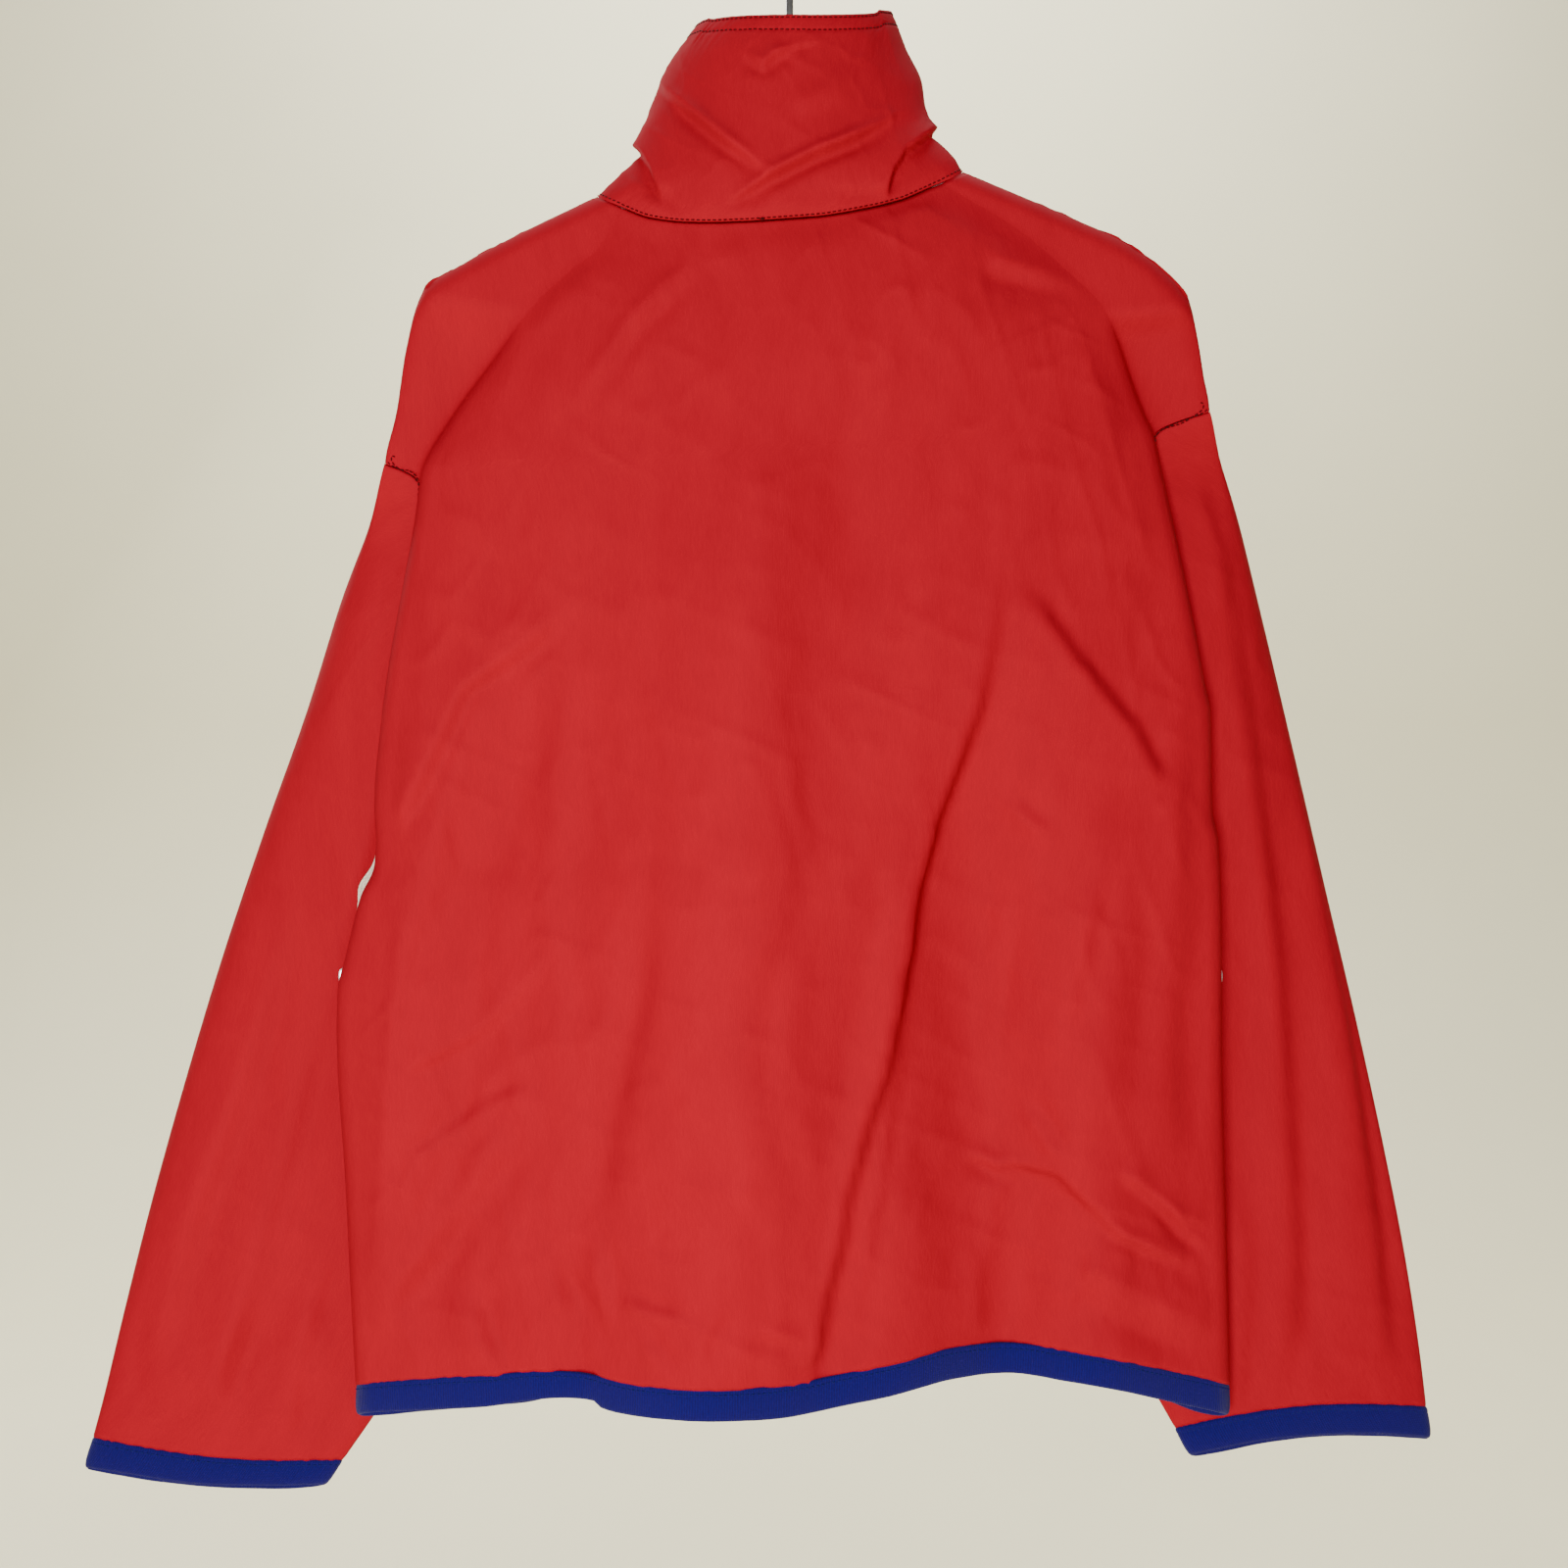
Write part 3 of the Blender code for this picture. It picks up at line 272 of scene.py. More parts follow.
# Side pockets: the strip's run down each side.
POCKET_FROM, POCKET_TO = 516.0, 655.0
POCKET_STRIP = 6.0
STRIP_THICK = 1.0
STRIP_CLEAR = 0.7  # between a strip and the rounded side that it is sewn to

# Zip sliders: their body, the bail over it, and the pull that hangs in the bail.
SLIDER = {"across": 8.0, "thick": 2.8, "tall": 11.0, "rise": 0.4}
SLIDER_TAPER = 0.9  # how much its half width loses at its foot
SLIDER_LEVELS = (  # over the slider's own foot, share of its outline
    (0.0, 0.9),
    (0.25, 1.0),
    (0.9, 1.0),
    (1.1, 0.9),
    (1.6, 0.9),
    (1.8, 1.0),
    (2.45, 1.0),
    (2.8, 0.88),
)
BAIL_WIRE = 1.2
BAIL_HEIGHT = 2.6
BAIL_HALF = 3.4  # of its span up the zip
BAIL_SUNK = 0.9  # into the slider's body, where it joins
PULL_FOOT, PULL_SLOT = 3.5, 9.0  # left below its slot, and the slot's greatest length
PULL_AXIS = 4.4  # from the zip's face to the pull's axis
PULL_WIRE, PULL_RIB = 0.55, 0.5  # the radii of its frame, and of the ribs of a long one's plate
RIBBED_FROM = 15.0  # the length from which a pull has a plate
FRONT_PULL = (6.4, 24.0)  # across, long
POCKET_PULL = (5.6, 12.0)


# --- curves and places ---------------------------------------------------------------
def curve(table, where):
    """Reads a table's columns along its first one, on a smooth curve that never overshoots."""
    table = np.asarray(table, dtype=float)
    knots, values = table[:, 0], table[:, 1:]
    rises = np.diff(values, axis=0) / np.diff(knots)[:, None]
    before, after = rises[:-1], rises[1:]
    shared = 2 * before * after / np.where(before * after > 0, before + after, 1.0)
    slopes = np.concatenate([rises[:1], np.where(before * after > 0, shared, 0.0), rises[-1:]])
    where = np.clip(np.asarray(where, dtype=float), knots[0], knots[-1])
    i = np.clip(np.searchsorted(knots, where, side="right") - 1, 0, len(knots) - 2)
    span = (knots[i + 1] - knots[i])[..., None]
    t = (where[..., None] - knots[i][..., None]) / span
    start = (1 + 2 * t) * (1 - t) ** 2 * values[i] + t * (1 - t) ** 2 * span * slopes[i]
    end = t * t * (3 - 2 * t) * values[i + 1] + t * t * (t - 1) * span * slopes[i + 1]
    return start + end


def value(table, where):
    return curve(table, where)[..., 0]


def ease(low, high, where):
    t = np.clip((np.asarray(where, dtype=float) - low) / (high - low), 0, 1)
    return t * t * (3 - 2 * t)


def carried(across, down, depth):
    """Takes a point seen on the hanger's plane to its own depth."""
    nearer = (EYE[1] - depth) / EYE[1]
    x = EYE[0] + (across - EYE[0]) * nearer
    z = EYE[2] + (-down - EYE[2]) * nearer
    return np.stack([x, depth + 0 * x, z], axis=-1)


def unit(vectors):
    return vectors / np.maximum(np.linalg.norm(vectors, axis=-1, keepdims=True), 1e-9)


def walked_along(grid, axis):
    """Each point's distance from its line's first point."""
    steps = np.linalg.norm(np.diff(grid, axis=axis), axis=-1)
    first = np.zeros_like(np.take(steps, [0], axis=axis))
    return np.concatenate([first, np.cumsum(steps, axis=axis)], axis=axis)


def distances(line):
    return walked_along(line[:, None], 0)[:, 0]


def points_at(where, walked, line):
    """The points, or normals, at distances along a line whose own points lie at walked."""
    return np.stack([np.interp(where, walked, line[:, k]) for k in range(3)], axis=-1)


def fold_rise(folds, across, down):
    """Adds up long folds, each dying away at its upper end and sideways."""
    total = np.zeros(np.broadcast(across, down).shape)
    for x0, d0, x1, d1, half, rise in folds:
        along = ((across - x0) * (x1 - x0) + (down - d0) * (d1 - d0)) / ((x1 - x0) ** 2 + (d1 - d0) ** 2)
        near = np.clip(along, 0, 1)
        off = np.hypot(across - x0 - near * (x1 - x0), down - d0 - near * (d1 - d0))
        total += rise * np.exp(-((off / half) ** 2)) * ease(0.0, 0.35, along)
    return total


# --- the body's rows -------------------------------------------------------------------
def stages():
    """The rows from the neck to the hem, the same on every panel so that seams match."""
    half_turn = np.linspace(0, np.pi, SLEEVE_HALF + 1)
    armhole = 2 + (1 - np.cos(half_turn)) / 2
    return np.concatenate(
        [
            np.linspace(0, 1, SHOULDER_ROWS + 1)[:-1],
            np.linspace(1, 2, STRIP_ROWS + 1)[:-1],
            armhole,
            np.linspace(3, 4, SIDE_ROWS + 1)[1:],
        ]
    )


def side_ends(side, stage):
    """One row's fold and end on one side: eight columns of the ends' table."""
    ends, edge = (LEFT_ENDS, LEFT_EDGE) if side == "left" else (RIGHT_ENDS, RIGHT_EDGE)
    if stage <= 3:
        return curve(ends, stage)
    down = edge[0][0] + (stage - 3) * (edge[-1][0] - edge[0][0])
    across = value(edge, down)
    turn = SIDE_TURN + (ends[-1][1] - ends[-1][3] - SIDE_TURN) * math.exp(-(down - edge[0][0]) / 14)
    return np.array([across, down, across - turn, down, -12.0, turn * 0.5, 0.0, 1.0])


def sign(side):
    return 1.0 if side == "left" else -1.0


def end_point(side, stage):
    """The seam point at a row's end."""
    ends = side_ends(side, stage)
    return carried(sign(side) * ends[2], ends[3], ends[4])


def ridge_round(side, stage, across, down):
    """0 on the ridge of a shoulder and 1 past its rounding: the cloth's turn over the hanger."""
    ridge = curve(LEFT_ENDS if side == "left" else RIGHT_ENDS, np.linspace(0, 2, 21))[:, 2:4]
    start, step = ridge[:-1], np.diff(ridge, axis=0)
    point = np.stack([sign(side) * across, down], axis=-1)[..., None, :]
    along = np.clip(((point - start) * step).sum(-1) / (step**2).sum(-1), 0, 1)
    off = np.linalg.norm(point - start - along[..., None] * step, axis=-1).min(-1)
    turn = np.sqrt(1 - (1 - np.clip(off / RIDGE_ROUND, 0, 1)) ** 2)
    return 1 - (1 - turn) * (1 - ease(2.0, 2.35, stage))


def back_depth(across, down, left, right, stage):
    """How far out the back lies between its two fold edges."""
    middle, half = (left + right) / 2, (left - right) / 2
    out = np.clip(np.abs(across - middle) / half, 0, 1)
    swell = value(BACK_SWELL, down) * (1 - out**2.3)
    folds = fold_rise(BACK_FOLDS, across, down) * ease(0, 30, half - np.abs(across - middle))
    over_hanger = (RIDGE_ROUND - EDGE_DEPTH) * (1 - ease(1.0, 1.8, stage))
    return EDGE_DEPTH + over_hanger + swell * (1 - 0.35 * (1 - ease(0, 1, stage))) + folds


def back_row(stage):
    """One row of the back, from its left seam over both fold edges to its right seam."""
    left, right = side_ends("left", stage), side_ends("right", stage)
    along = np.linspace(0, 1, BACK_COLUMNS + 1)
    along = 0.65 * (1 - np.cos(np.pi * along)) / 2 + 0.35 * along
    across = left[0] + (-right[0] - left[0]) * along
    down = left[1] + (right[1] - left[1]) * along
    down = down + value(NECK_SAG, along) * (1 - ease(0.0, 2.2, stage))
    down = down - value(HEM_LIFT, across) * ease(2.6, 4.0, stage) ** 2
    depth = back_depth(across, down, left[0], -right[0], stage)
    from_edge = np.minimum(left[0] - across, across + right[0])
    strength = left[7] + (right[7] - left[7]) * along
    turn = 1 - np.sqrt(1 - (1 - np.clip(from_edge / FOLD_ROUND, 0, 1)) ** 2)
    depth = depth - FOLD_ROUND * strength * turn
    main = np.stack([across, down, depth], axis=-1)
    row = np.concatenate([tail("left", left, main)[::-1], main[1:-1], tail("right", right, main[::-1])])
    for side, ends in (("left", left), ("right", right)):
        rounded = ridge_round(side, stage, row[:, 0], row[:, 1])
        row[:, 2] = ends[4] + (row[:, 2] - ends[4]) * rounded
    return carried(row[:, 0], row[:, 1], row[:, 2])


def tail(side, ends, main):
    """From the fold edge to the seam: straight on where there is no fold, or round it."""
    way, start = sign(side), main[0]
    end = np.array([way * ends[2], ends[3], ends[4]])
    w = np.linspace(0, 1, TAIL_COLUMNS + 1)[:, None]
    w = 1 - (1 - w) ** (2 - ends[7])
    reach = np.linalg.norm(end - start)
    flat_end = end + np.array([0.0, 0.0, (start - end)[2]]) * (1 - ends[7])
    leave_flat = (flat_end - start) / 3
    leave_fold = np.array([0.2 * way, 0.0, -1.0]) * min(FOLD_ROUND, 0.6 * reach)
    leave = start + leave_flat + (leave_fold - leave_flat) * ends[7]
    arrive_flat = flat_end - leave_flat
    arrive_fold = end + np.array([way * ends[5], 0.0, ends[6]])
    arrive = arrive_flat + (arrive_fold - arrive_flat) * ends[7]
    end = flat_end
    return (1 - w) ** 3 * start + 3 * w * (1 - w) ** 2 * leave + 3 * w * w * (1 - w) * arrive + w**3 * end


def opened(stage):
    """How far an armhole is open at a stage: 0 at its two ends and 1 in its middle."""
    return 2 * math.sqrt(max((stage - 2) * (3 - stage), 0.0))


def front_end_point(side, stage):
    """The front panel's own seam point, which parts from the back's along the armhole."""
    apart = opened(stage)
    spread = np.array([sign(side) * ARMHOLE_SPREAD * apart, -ARMHOLE_DEPTH * apart**0.5, 0.0])
    return end_point(side, stage) + spread


def front_row(side, stage):
    """One row of a front, from the zip to its outer seam."""
    way, end = sign(side), front_end_point(side, stage)
    zip_down = np.interp(stage, [0, 1, 2, 3, 4], [NECK_DOWN_FRONT, 285, 350, 455, HEM_DOWN_FRONT])
    u = 1 - np.linspace(1, 0, FRONT_COLUMNS + 1) ** (1.1 + 0.7 * (1 - ease(1.6, 2.2, stage)))
    x = ZIP_HALF + (way * end[0] - ZIP_HALF) * u
    down = zip_down + (-end[2] - zip_down) * u
    down = down - value(FRONT_HEM_LIFT, way * x) * ease(2.6, 4.0, stage) ** 2
    out, fall, neck_depth = curve(FRONT_NECK, u).T
    neck = 1 - ease(0.0, 1.3, stage)
    x = x + (ZIP_HALF + (way * end[0] - ZIP_HALF) * out - x) * neck
    down = down + (zip_down + (-end[2] - zip_down) * fall - down) * neck
    beside = ease(1.2, 2.5, stage) * (1 - ease(2.92, 3.08, stage)) * ease(90, 165, x)
    flat = FRONT_FLAT - ARMHOLE_SWELL * beside
    bulge = value(FRONT_SWELL, down) * (1 - ease(60, 152, x))
    folds = sum(r * np.exp(-(((x - at) / half) ** 2)) for at, half, r in FRONT_FOLDS)
    depth = flat - bulge - folds * ease(2.2, 3.6, stage)
    depth = depth + (neck_depth - depth) * (1 - ease(0.0, 0.8, stage))
    settle = 1 - ease(0, 24, way * end[0] - x)
    depth = depth + (end[1] - depth) * settle * ease(1.9, 2.1, stage)
    rounded = ridge_round(side, stage, way * x, down)
    depth = end[1] + (depth - end[1]) * rounded
    return np.stack([way * x, depth, -down], axis=-1)


# --- the sleeves --------------------------------------------------------------------------
def plain_ring(side, along):
    """One ring of a sleeve, from its outer line over the back and round by the front."""
    table = LEFT_SLEEVE if side == "left" else RIGHT_SLEEVE
    out_x, out_down, in_x, in_down, back, front = curve(table, along)
    turn = np.linspace(0, 2 * np.pi, 2 * SLEEVE_HALF + 1)[:-1]
    inward = (1 - np.cos(turn)) / 2
    side_on = np.sin(turn)
    depth = (back + front) / 2 + (back - front) / 2 * np.sign(side_on) * np.abs(side_on) ** 0.8
    sag = CUFF_SAG[side] * np.sin(np.pi * inward) * ease(0.7, 1.0, along)
    down = out_down + (in_down - out_down) * inward + sag
    points = carried(sign(side) * (out_x + (in_x - out_x) * inward), down, depth)
    return points, inward, side_on >= 0


def sleeve_ring(side, along):
    """A sleeve's ring, with the first ones drawn onto the armhole's seam."""
    points, inward, behind = plain_ring(side, along)
    keep = 1 - ease(0.0, 0.16, along)
    if keep > 0:
        seam = np.array([armhole_point(side, 2 + s, b) for s, b in zip(inward, behind)])
        shift = seam - plain_ring(side, 0.0)[0]
        points = points + shift * np.array([keep, 1 - ease(0.0, 0.08, along), keep])
    return points


def armhole_point(side, stage, behind):
    """The sleeve's own edge, just clear of the panel that it is sewn to."""
    apart = ease(2.05, 2.35, stage)
    below = SEAM + SLEEVE_CLEAR * (1 - apart)
    outward = sign(side) * (SEAM + SLEEVE_CLEAR)
    if stage == 3:
        return end_point(side, stage) + np.array([outward, -5.0, -1.0])
    if behind:
        outward = (outward + sign(side) * ARMHOLE_SPREAD * opened(stage)) * ease(2.75, 2.95, stage)
        return end_point(side, stage) + np.array([outward, -(WALL + SEAM + 0.5) * apart, -below])
    return front_end_point(side, stage) + np.array([outward, -0.3 * apart, -below])


def drawn_in(rows, top=0.0, bottom=0.0, start=0.0, end=0.0):
    """Draws a grid's borders in by part of a seam's gap."""
    rows = np.array(rows)

    def nudge(border, inner, by):
        return border + unit(inner - border) * by

    rows[0], rows[-1] = nudge(rows[0], rows[1], top), nudge(rows[-1], rows[-2], bottom)
    rows[:, 0], rows[:, -1] = nudge(rows[:, 0], rows[:, 1], start), nudge(rows[:, -1], rows[:, -2], end)
    return rows


def neck_line(back, fronts):
    """The neck seam all round, from the zip over the left shoulder to the zip again."""
    return np.concatenate([fronts["left"][0], back[0][1:-1], fronts["right"][0][::-1]])


def collar_rows(base):
    """Rings from the neck seam up to the top edge, open at the zip."""
    left, right = base[:, 0].max(), base[:, 0].min()
    cross = np.clip((2 * base[:, 0] - left - right) / (left - right), -1, 1)
    ahead = np.sqrt(1 - cross**2) * np.where(base[:, 1] < 0, -1, 1)
    side_top = (COLLAR_TOP_LEFT + COLLAR_TOP_RIGHT + (COLLAR_TOP_LEFT - COLLAR_TOP_RIGHT) * cross) / 2
    top_down = side_top + (COLLAR_TOP_BACK - side_top) * np.maximum(ahead, 0)
    top_down = top_down + (COLLAR_TOP_FRONT - side_top) * np.maximum(-ahead, 0) ** 4
    rows = []
    for level in COLLAR_LEVELS:
        left, right, side, behind, before = curve(COLLAR, level)
        x = (left + right) / 2 + (left - right) / 2 * cross
        y = side + np.where(ahead > 0, behind - side, side - before) * ahead
        down = -base[:, 2] + (top_down + base[:, 2]) * level
        row = np.stack([carried(x, down, y)[:, 0], y, -down], axis=-1)
        row = base + (row - base) * value(COLLAR_FLARE, level)
        row[0, 0], row[-1, 0] = ZIP_HALF, -ZIP_HALF
        rows.append(row)
    return np.array(rows)


def along_row(row, distance):
    """The point at a distance from a row's first point; a negative one runs out past it."""
    if distance < 0:
        return row[0] + unit(row[1] - row[0]) * distance
    return points_at(distance, distances(row), row)


# --- what the photograph shows ------------------------------------------------------------------
PHOTO_MIDDLE, PHOTO_TOP = 805.6, -102.0  # pixels: the hanger's middle, and the origin's height
PIXEL = 0.53  # millimetres on the hanger's plane
SHEET = 0.45  # the nylon itself
THREAD = 0.7
STITCH, STITCH_GAP, FIRST_STITCH = 2.1, 0.8, 0.4
STITCH_PROUD = 0.12  # its middle line over the cloth
STITCH_RINGS = (  # along a stitch, share of the thread's width, rise
    (0.0, 0.35, -0.3),
    (0.15, 0.85, 0.0),
    (0.5, 1.0, 0.12),
    (0.85, 0.85, 0.0),
    (1.0, 0.35, -0.3),
)
FOLD_TROUGH = 1.5  # how far beside a ridge its trough runs, in widths of the ridge
TOP_ROWS = (1.3, 8.4)  # of sewing below the collar's top edge
COLLAR_FOOT_ROW = 1.9  # above the neck seam
COLLAR_SOFTENING = 90  # rounds of evening out along the collar's top
ROW_SPACE = 2.0  # between the rows that give a sheet's normals
SEAM_ROLL, SEAM_DIP = 2.2, 0.4  # how far from a seam the cloth starts to roll in, and how deep
SEAM_ALLOWANCE = ((4.0, 1.5), (1.2, 1.1), (0.3, 0.5))  # past the collar's foot, and inwards
ZIP_ROW = 3.0  # beside the front zip
ARMHOLE_ROWS = (1.8, 7.6)
LINE_STEP = 1.5  # between the points of a line of sewing beside an armhole
BINDING_ROW = 4  # the point of a binding's section that its sewing runs along
TOOTH_PITCH = 1.6
TOOTH = ((3.0, 0.5, 0.34), (2.2, -0.25, 0.42), (0.6, -0.42, 0.45), (-0.5, -0.2, 0.5), (-0.75, 0.25, 0.36))
KNOT = (779, 222)  # pixel of a thread knot
HEM_LAP, HEM_LAP_SHORT = (612, 1430), 0.19  # pixel of the lap in the hem; how much shorter it is there
# The drop where the left pocket's strip stands out, and how far.
STRIP_SEEN, STRIP_GAPE = 531.0, {"left": 4.2, "right": 0.0}

# How strong a piece's relief is: creases, drapes, uneven rises, crinkles.
RELIEF = {
    "back": (1.6, 1.2, 1.7, 2.1),
    "front": (1.4, 1.0, 1.6, 1.9),
    "sleeve": (1.0, 1.0, 1.2, 1.4),
    "collar": (1.0, 1.0, 0.8, 0.9),
}
SEEDS = {"back": 11, "front_left": 31, "front_right": 41, "sleeve_left": 61, "sleeve_right": 71, "collar": 81}
HEM_SEED, CUFF_SEED = 91, 95
FRONT_HEM_SEED, FRONT_ZIP_SEED = 51, 55

# Creases of the back: width and rise in millimetres, trough beside it as a share, then the path in
# the photograph's pixels. The trough lies right of a path that runs down, below one that runs left.
BACK_CREASES = (
    (4.5, 1.0, 0.9, (930, 1010), (922, 1060), (891, 1237), (872, 1331), (862, 1394)),
    (8.0, 2.0, 0.9, (530, 1130), (511, 1160), (450, 1250), (383, 1343)),
    (4.5, 1.0, 0.9, (561, 1304), (590, 1350), (615, 1400)),
    (4.0, 1.3, 0.9, (604, 1268), (613, 1310), (617, 1350)),
    (3.5, 1.2, 0.9, (626, 1325), (660, 1341), (697, 1350)),
    (3.5, 1.2, 0.9, (651, 1364), (668, 1386), (679, 1407)),
    (4.0, 1.0, 0.9, (815, 1364), (790, 1358), (769, 1350)),
    (4.0, 1.0, 0.9, (735, 1330), (719, 1361), (712, 1400)),
    (5.0, 1.2, 0.8, (1025, 815), (1048, 838), (1070, 854)),
    (4.0, 1.2, 0.8, (1210, 809), (1228, 832), (1241, 851)),
    (4.0, 1.6, 0.9, (1031, 1192), (1012, 1184), (994, 1175)),
    (3.2, 1.4, 1.0, (1237, 1275), (1210, 1253), (1181, 1225)),
    (4.0, 1.2, 0.8, (1044, 1128), (1066, 1158), (1081, 1184)),
    (11.0, 2.0, 0.5, (615, 250), (546, 309), (496, 379), (453, 432), (436, 470)),
    (4.0, 1.6, 0.9, (1152, 284), (1172, 318), (1187, 353)),
    (5.0, 1.2, 0.8, (700, 270), (640, 330), (590, 410)),
    (14.0, -1.8, 0.0, (880, 330), (865, 480), (872, 640)),
    (26.0, 4.2, 0.0, (770, 380), (778, 700), (785, 1000), (772, 1340)),
    (9.0, 1.2, 0.4, (585, 600), (570, 760), (560, 940), (566, 1100)),
    (10.0, -3.0, 0.0, (668, 880), (642, 1040), (616, 1150), (592, 1270)),
    (9.0, -1.6, 0.0, (790, 960), (781, 1050), (778, 1160)),
    (6.0, 1.0, 0.6, (1120, 880), (1100, 980), (1075, 1080)),
    (8.0, -1.4, 0.0, (1180, 900), (1165, 1040), (1150, 1150)),
    (5.0, 0.9, 0.6, (1030, 900), (1010, 1000), (995, 1090)),
    (5.0, 0.9, 0.6, (420, 900), (405, 1010), (400, 1120)),
)
# Folds with a steep side: its width, rise, reach of the gentle side, reach past the steep one, path.
# The steep side lies right of a path that runs down, below one that runs left.
BACK_DRAPES = (
    (7.0, 7.0, 30.0, 14.0, (1110, 262), (1135, 300), (1145, 342), (1160, 397), (1176, 440), (1193, 515),
     (1202, 570)),
    (7.0, 5.5, 30.0, 14.0, (424, 500), (436, 470), (453, 432), (496, 379), (546, 309), (615, 250),
     (650, 225)),
    (11.0, 10.0, 38.0, 45.0, (1020, 560), (992, 719), (947, 837), (930, 899), (913, 1011), (896, 1095),
     (878, 1144), (859, 1212), (850, 1269), (837, 1316), (822, 1400), (806, 1520)),
    (40.0, 9.0, 22.0, 50.0, (560, 560), (505, 670), (462, 780), (436, 870), (416, 960), (400, 1080),
     (392, 1200), (378, 1330), (372, 1400)),
    (9.0, 5.0, 26.0, 24.0, (593, 600), (540, 650), (470, 700), (430, 790), (396, 850)),
    (11.0, 3.6, 14.0, 16.0, (556, 1270), (572, 1348), (582, 1400), (590, 1450)),
    (8.0, 4.0, 14.0, 12.0, (470, 1312), (487, 1364), (512, 1410), (520, 1450)),
    (7.0, 4.5, 14.0, 26.0, (1230, 1296), (1216, 1287), (1144, 1256), (1112, 1225), (1081, 1194),
     (1031, 1181), (1010, 1178)),
    (7.0, 3.5, 10.0, 16.0, (1244, 1256), (1234, 1250), (1206, 1237), (1159, 1203), (1145, 1190)),
    (26.0, 6.0, 14.0, 40.0, (1040, 1150), (1014, 1194), (1004, 1260), (990, 1331), (980, 1420)),
    (22.0, 5.0, 20.0, 26.0, (1253, 1360), (1190, 1330), (1128, 1300), (1100, 1290)),
    (12.0, 5.0, 22.0, 30.0, (1020, 600), (1053, 624), (1098, 686), (1149, 747), (1180, 810)),
    (10.0, 4.0, 22.0, 20.0, (1180, 330), (1150, 296), (1097, 280), (1025, 266), (1000, 262)),
    (7.0, 2.5, 12.0, 16.0, (404, 1240), (430, 1180), (500, 1130), (540, 1110)),
    (8.0, 3.0, 16.0, 20.0, (560, 960), (520, 1017), (480, 1052), (436, 1078), (410, 1090)),
    (26.0, 4.5, 40.0, 50.0, (1215, 640), (1196, 800), (1188, 960), (1180, 1100), (1170, 1180)),
)
COLLAR_DRAPES = (
    (3.0, 8.0, 14.0, 6.0, (966, 122), (942, 139), (922, 153), (910, 172), (905, 190), (903, 204)),
    (3.0, 6.5, 12.0, 6.0, (680, 206), (672, 190), (665, 170), (656, 154), (640, 140)),
    (3.4, 2.8, 14.0, 9.0, (930, 110), (905, 121), (870, 138), (831, 153), (783, 177), (740, 206)),
    (5.0, 2.4, 10.0, 12.0, (800, 180), (777, 166), (740, 139), (700, 106), (670, 78)),
    (2.2, 1.6, 8.0, 8.0, (840, 40), (812, 45), (790, 54), (776, 66)),
)
SLEEVE_DRAPES = {
    "left": (
        (14.0, 6.0, 26.0, 40.0, (420, 640), (370, 860), (318, 1050), (268, 1230), (215, 1420), (200, 1480)),
        (12.0, 5.0, 30.0, 30.0, (300, 900), (250, 1080), (196, 1240), (150, 1400)),
        (8.0, 3.5, 14.0, 20.0, (344, 1250), (318, 1320), (300, 1390), (292, 1470)),
    ),
    "right": (
        (14.0, 6.0, 26.0, 36.0, (1235, 560), (1262, 760), (1290, 960), (1306, 1160), (1316, 1400)),
        (12.0, 5.0, 26.0, 30.0, (1290, 660), (1335, 860), (1370, 1060), (1396, 1260), (1410, 1420)),
        (8.0, 3.5, 14.0, 20.0, (1260, 1200), (1268, 1300), (1262, 1400), (1258, 1450)),
    ),
}
FRONT_DRAPES = {
    "left": (
        (16.0, 7.0, 34.0, 40.0, (50, 280), (64, 400), (84, 560), (96, 700), (104, 840)),
        (14.0, 5.0, 26.0, 36.0, (150, 400), (140, 520), (146, 660), (160, 840)),
    ),
    "right": (
        (16.0, 7.0, 34.0, 40.0, (-40, 300), (-50, 430), (-68, 600), (-74, 720), (-80, 840)),
        (14.0, 5.0, 26.0, 36.0, (-120, 380), (-134, 520), (-150, 680), (-156, 840)),
    ),
}
SLEEVE_CREASES = {
    "left": (
        (10.0, 2.2, 0.6, (330, 1190), (280, 1290), (215, 1400)),
        (8.0, 1.6, 0.8, (300, 1310), (322, 1370), (330, 1430)),
        (12.0, 1.8, 0.4, (262, 1080), (215, 1180), (165, 1290)),
        (9.0, -1.8, 0.0, (350, 930), (318, 1050), (300, 1150)),
        (10.0, 1.5, 0.4, (395, 560), (360, 660), (325, 780)),
        (7.0, -1.5, 0.0, (150, 1330), (140, 1400), (160, 1450)),
        (6.0, 1.2, 0.8, (250, 1330), (225, 1400), (228, 1460)),
    ),
    "right": (
        (11.0, 2.0, 0.5, (1262, 620), (1285, 820), (1300, 1000), (1310, 1180)),
        (10.0, -2.0, 0.0, (1275, 900), (1268, 1080), (1262, 1300)),
        (10.0, 1.8, 0.5, (1350, 960), (1372, 1150), (1385, 1350)),
        (8.0, -1.6, 0.0, (1330, 1120), (1338, 1260), (1330, 1400)),
        (6.0, 1.2, 0.8, (1290, 1290), (1310, 1350), (1300, 1420)),
        (5.0, 1.2, 0.8, (1215, 480), (1240, 560), (1250, 640)),
    ),
}
COLLAR_CREASES = (
    (3.6, 1.8, 1.0, (777, 166), (740, 139), (700, 106), (682, 91)),
    (3.4, 2.6, 1.0, (905, 121), (870, 138), (831, 153), (783, 177), (751, 200)),
    (3.0, 1.4, 0.8, (812, 45), (790, 54), (778, 64), (760, 50)),
    (5.0, -1.4, 0.0, (898, 185), (866, 209), (855, 213)),
    (4.0, -1.2, 0.0, (668, 190), (684, 208), (700, 222)),
    (7.0, 1.4, 0.4, (866, 60), (850, 90), (800, 112)),
    (5.0, 1.0, 0.6, (640, 180), (655, 196), (660, 212)),
)
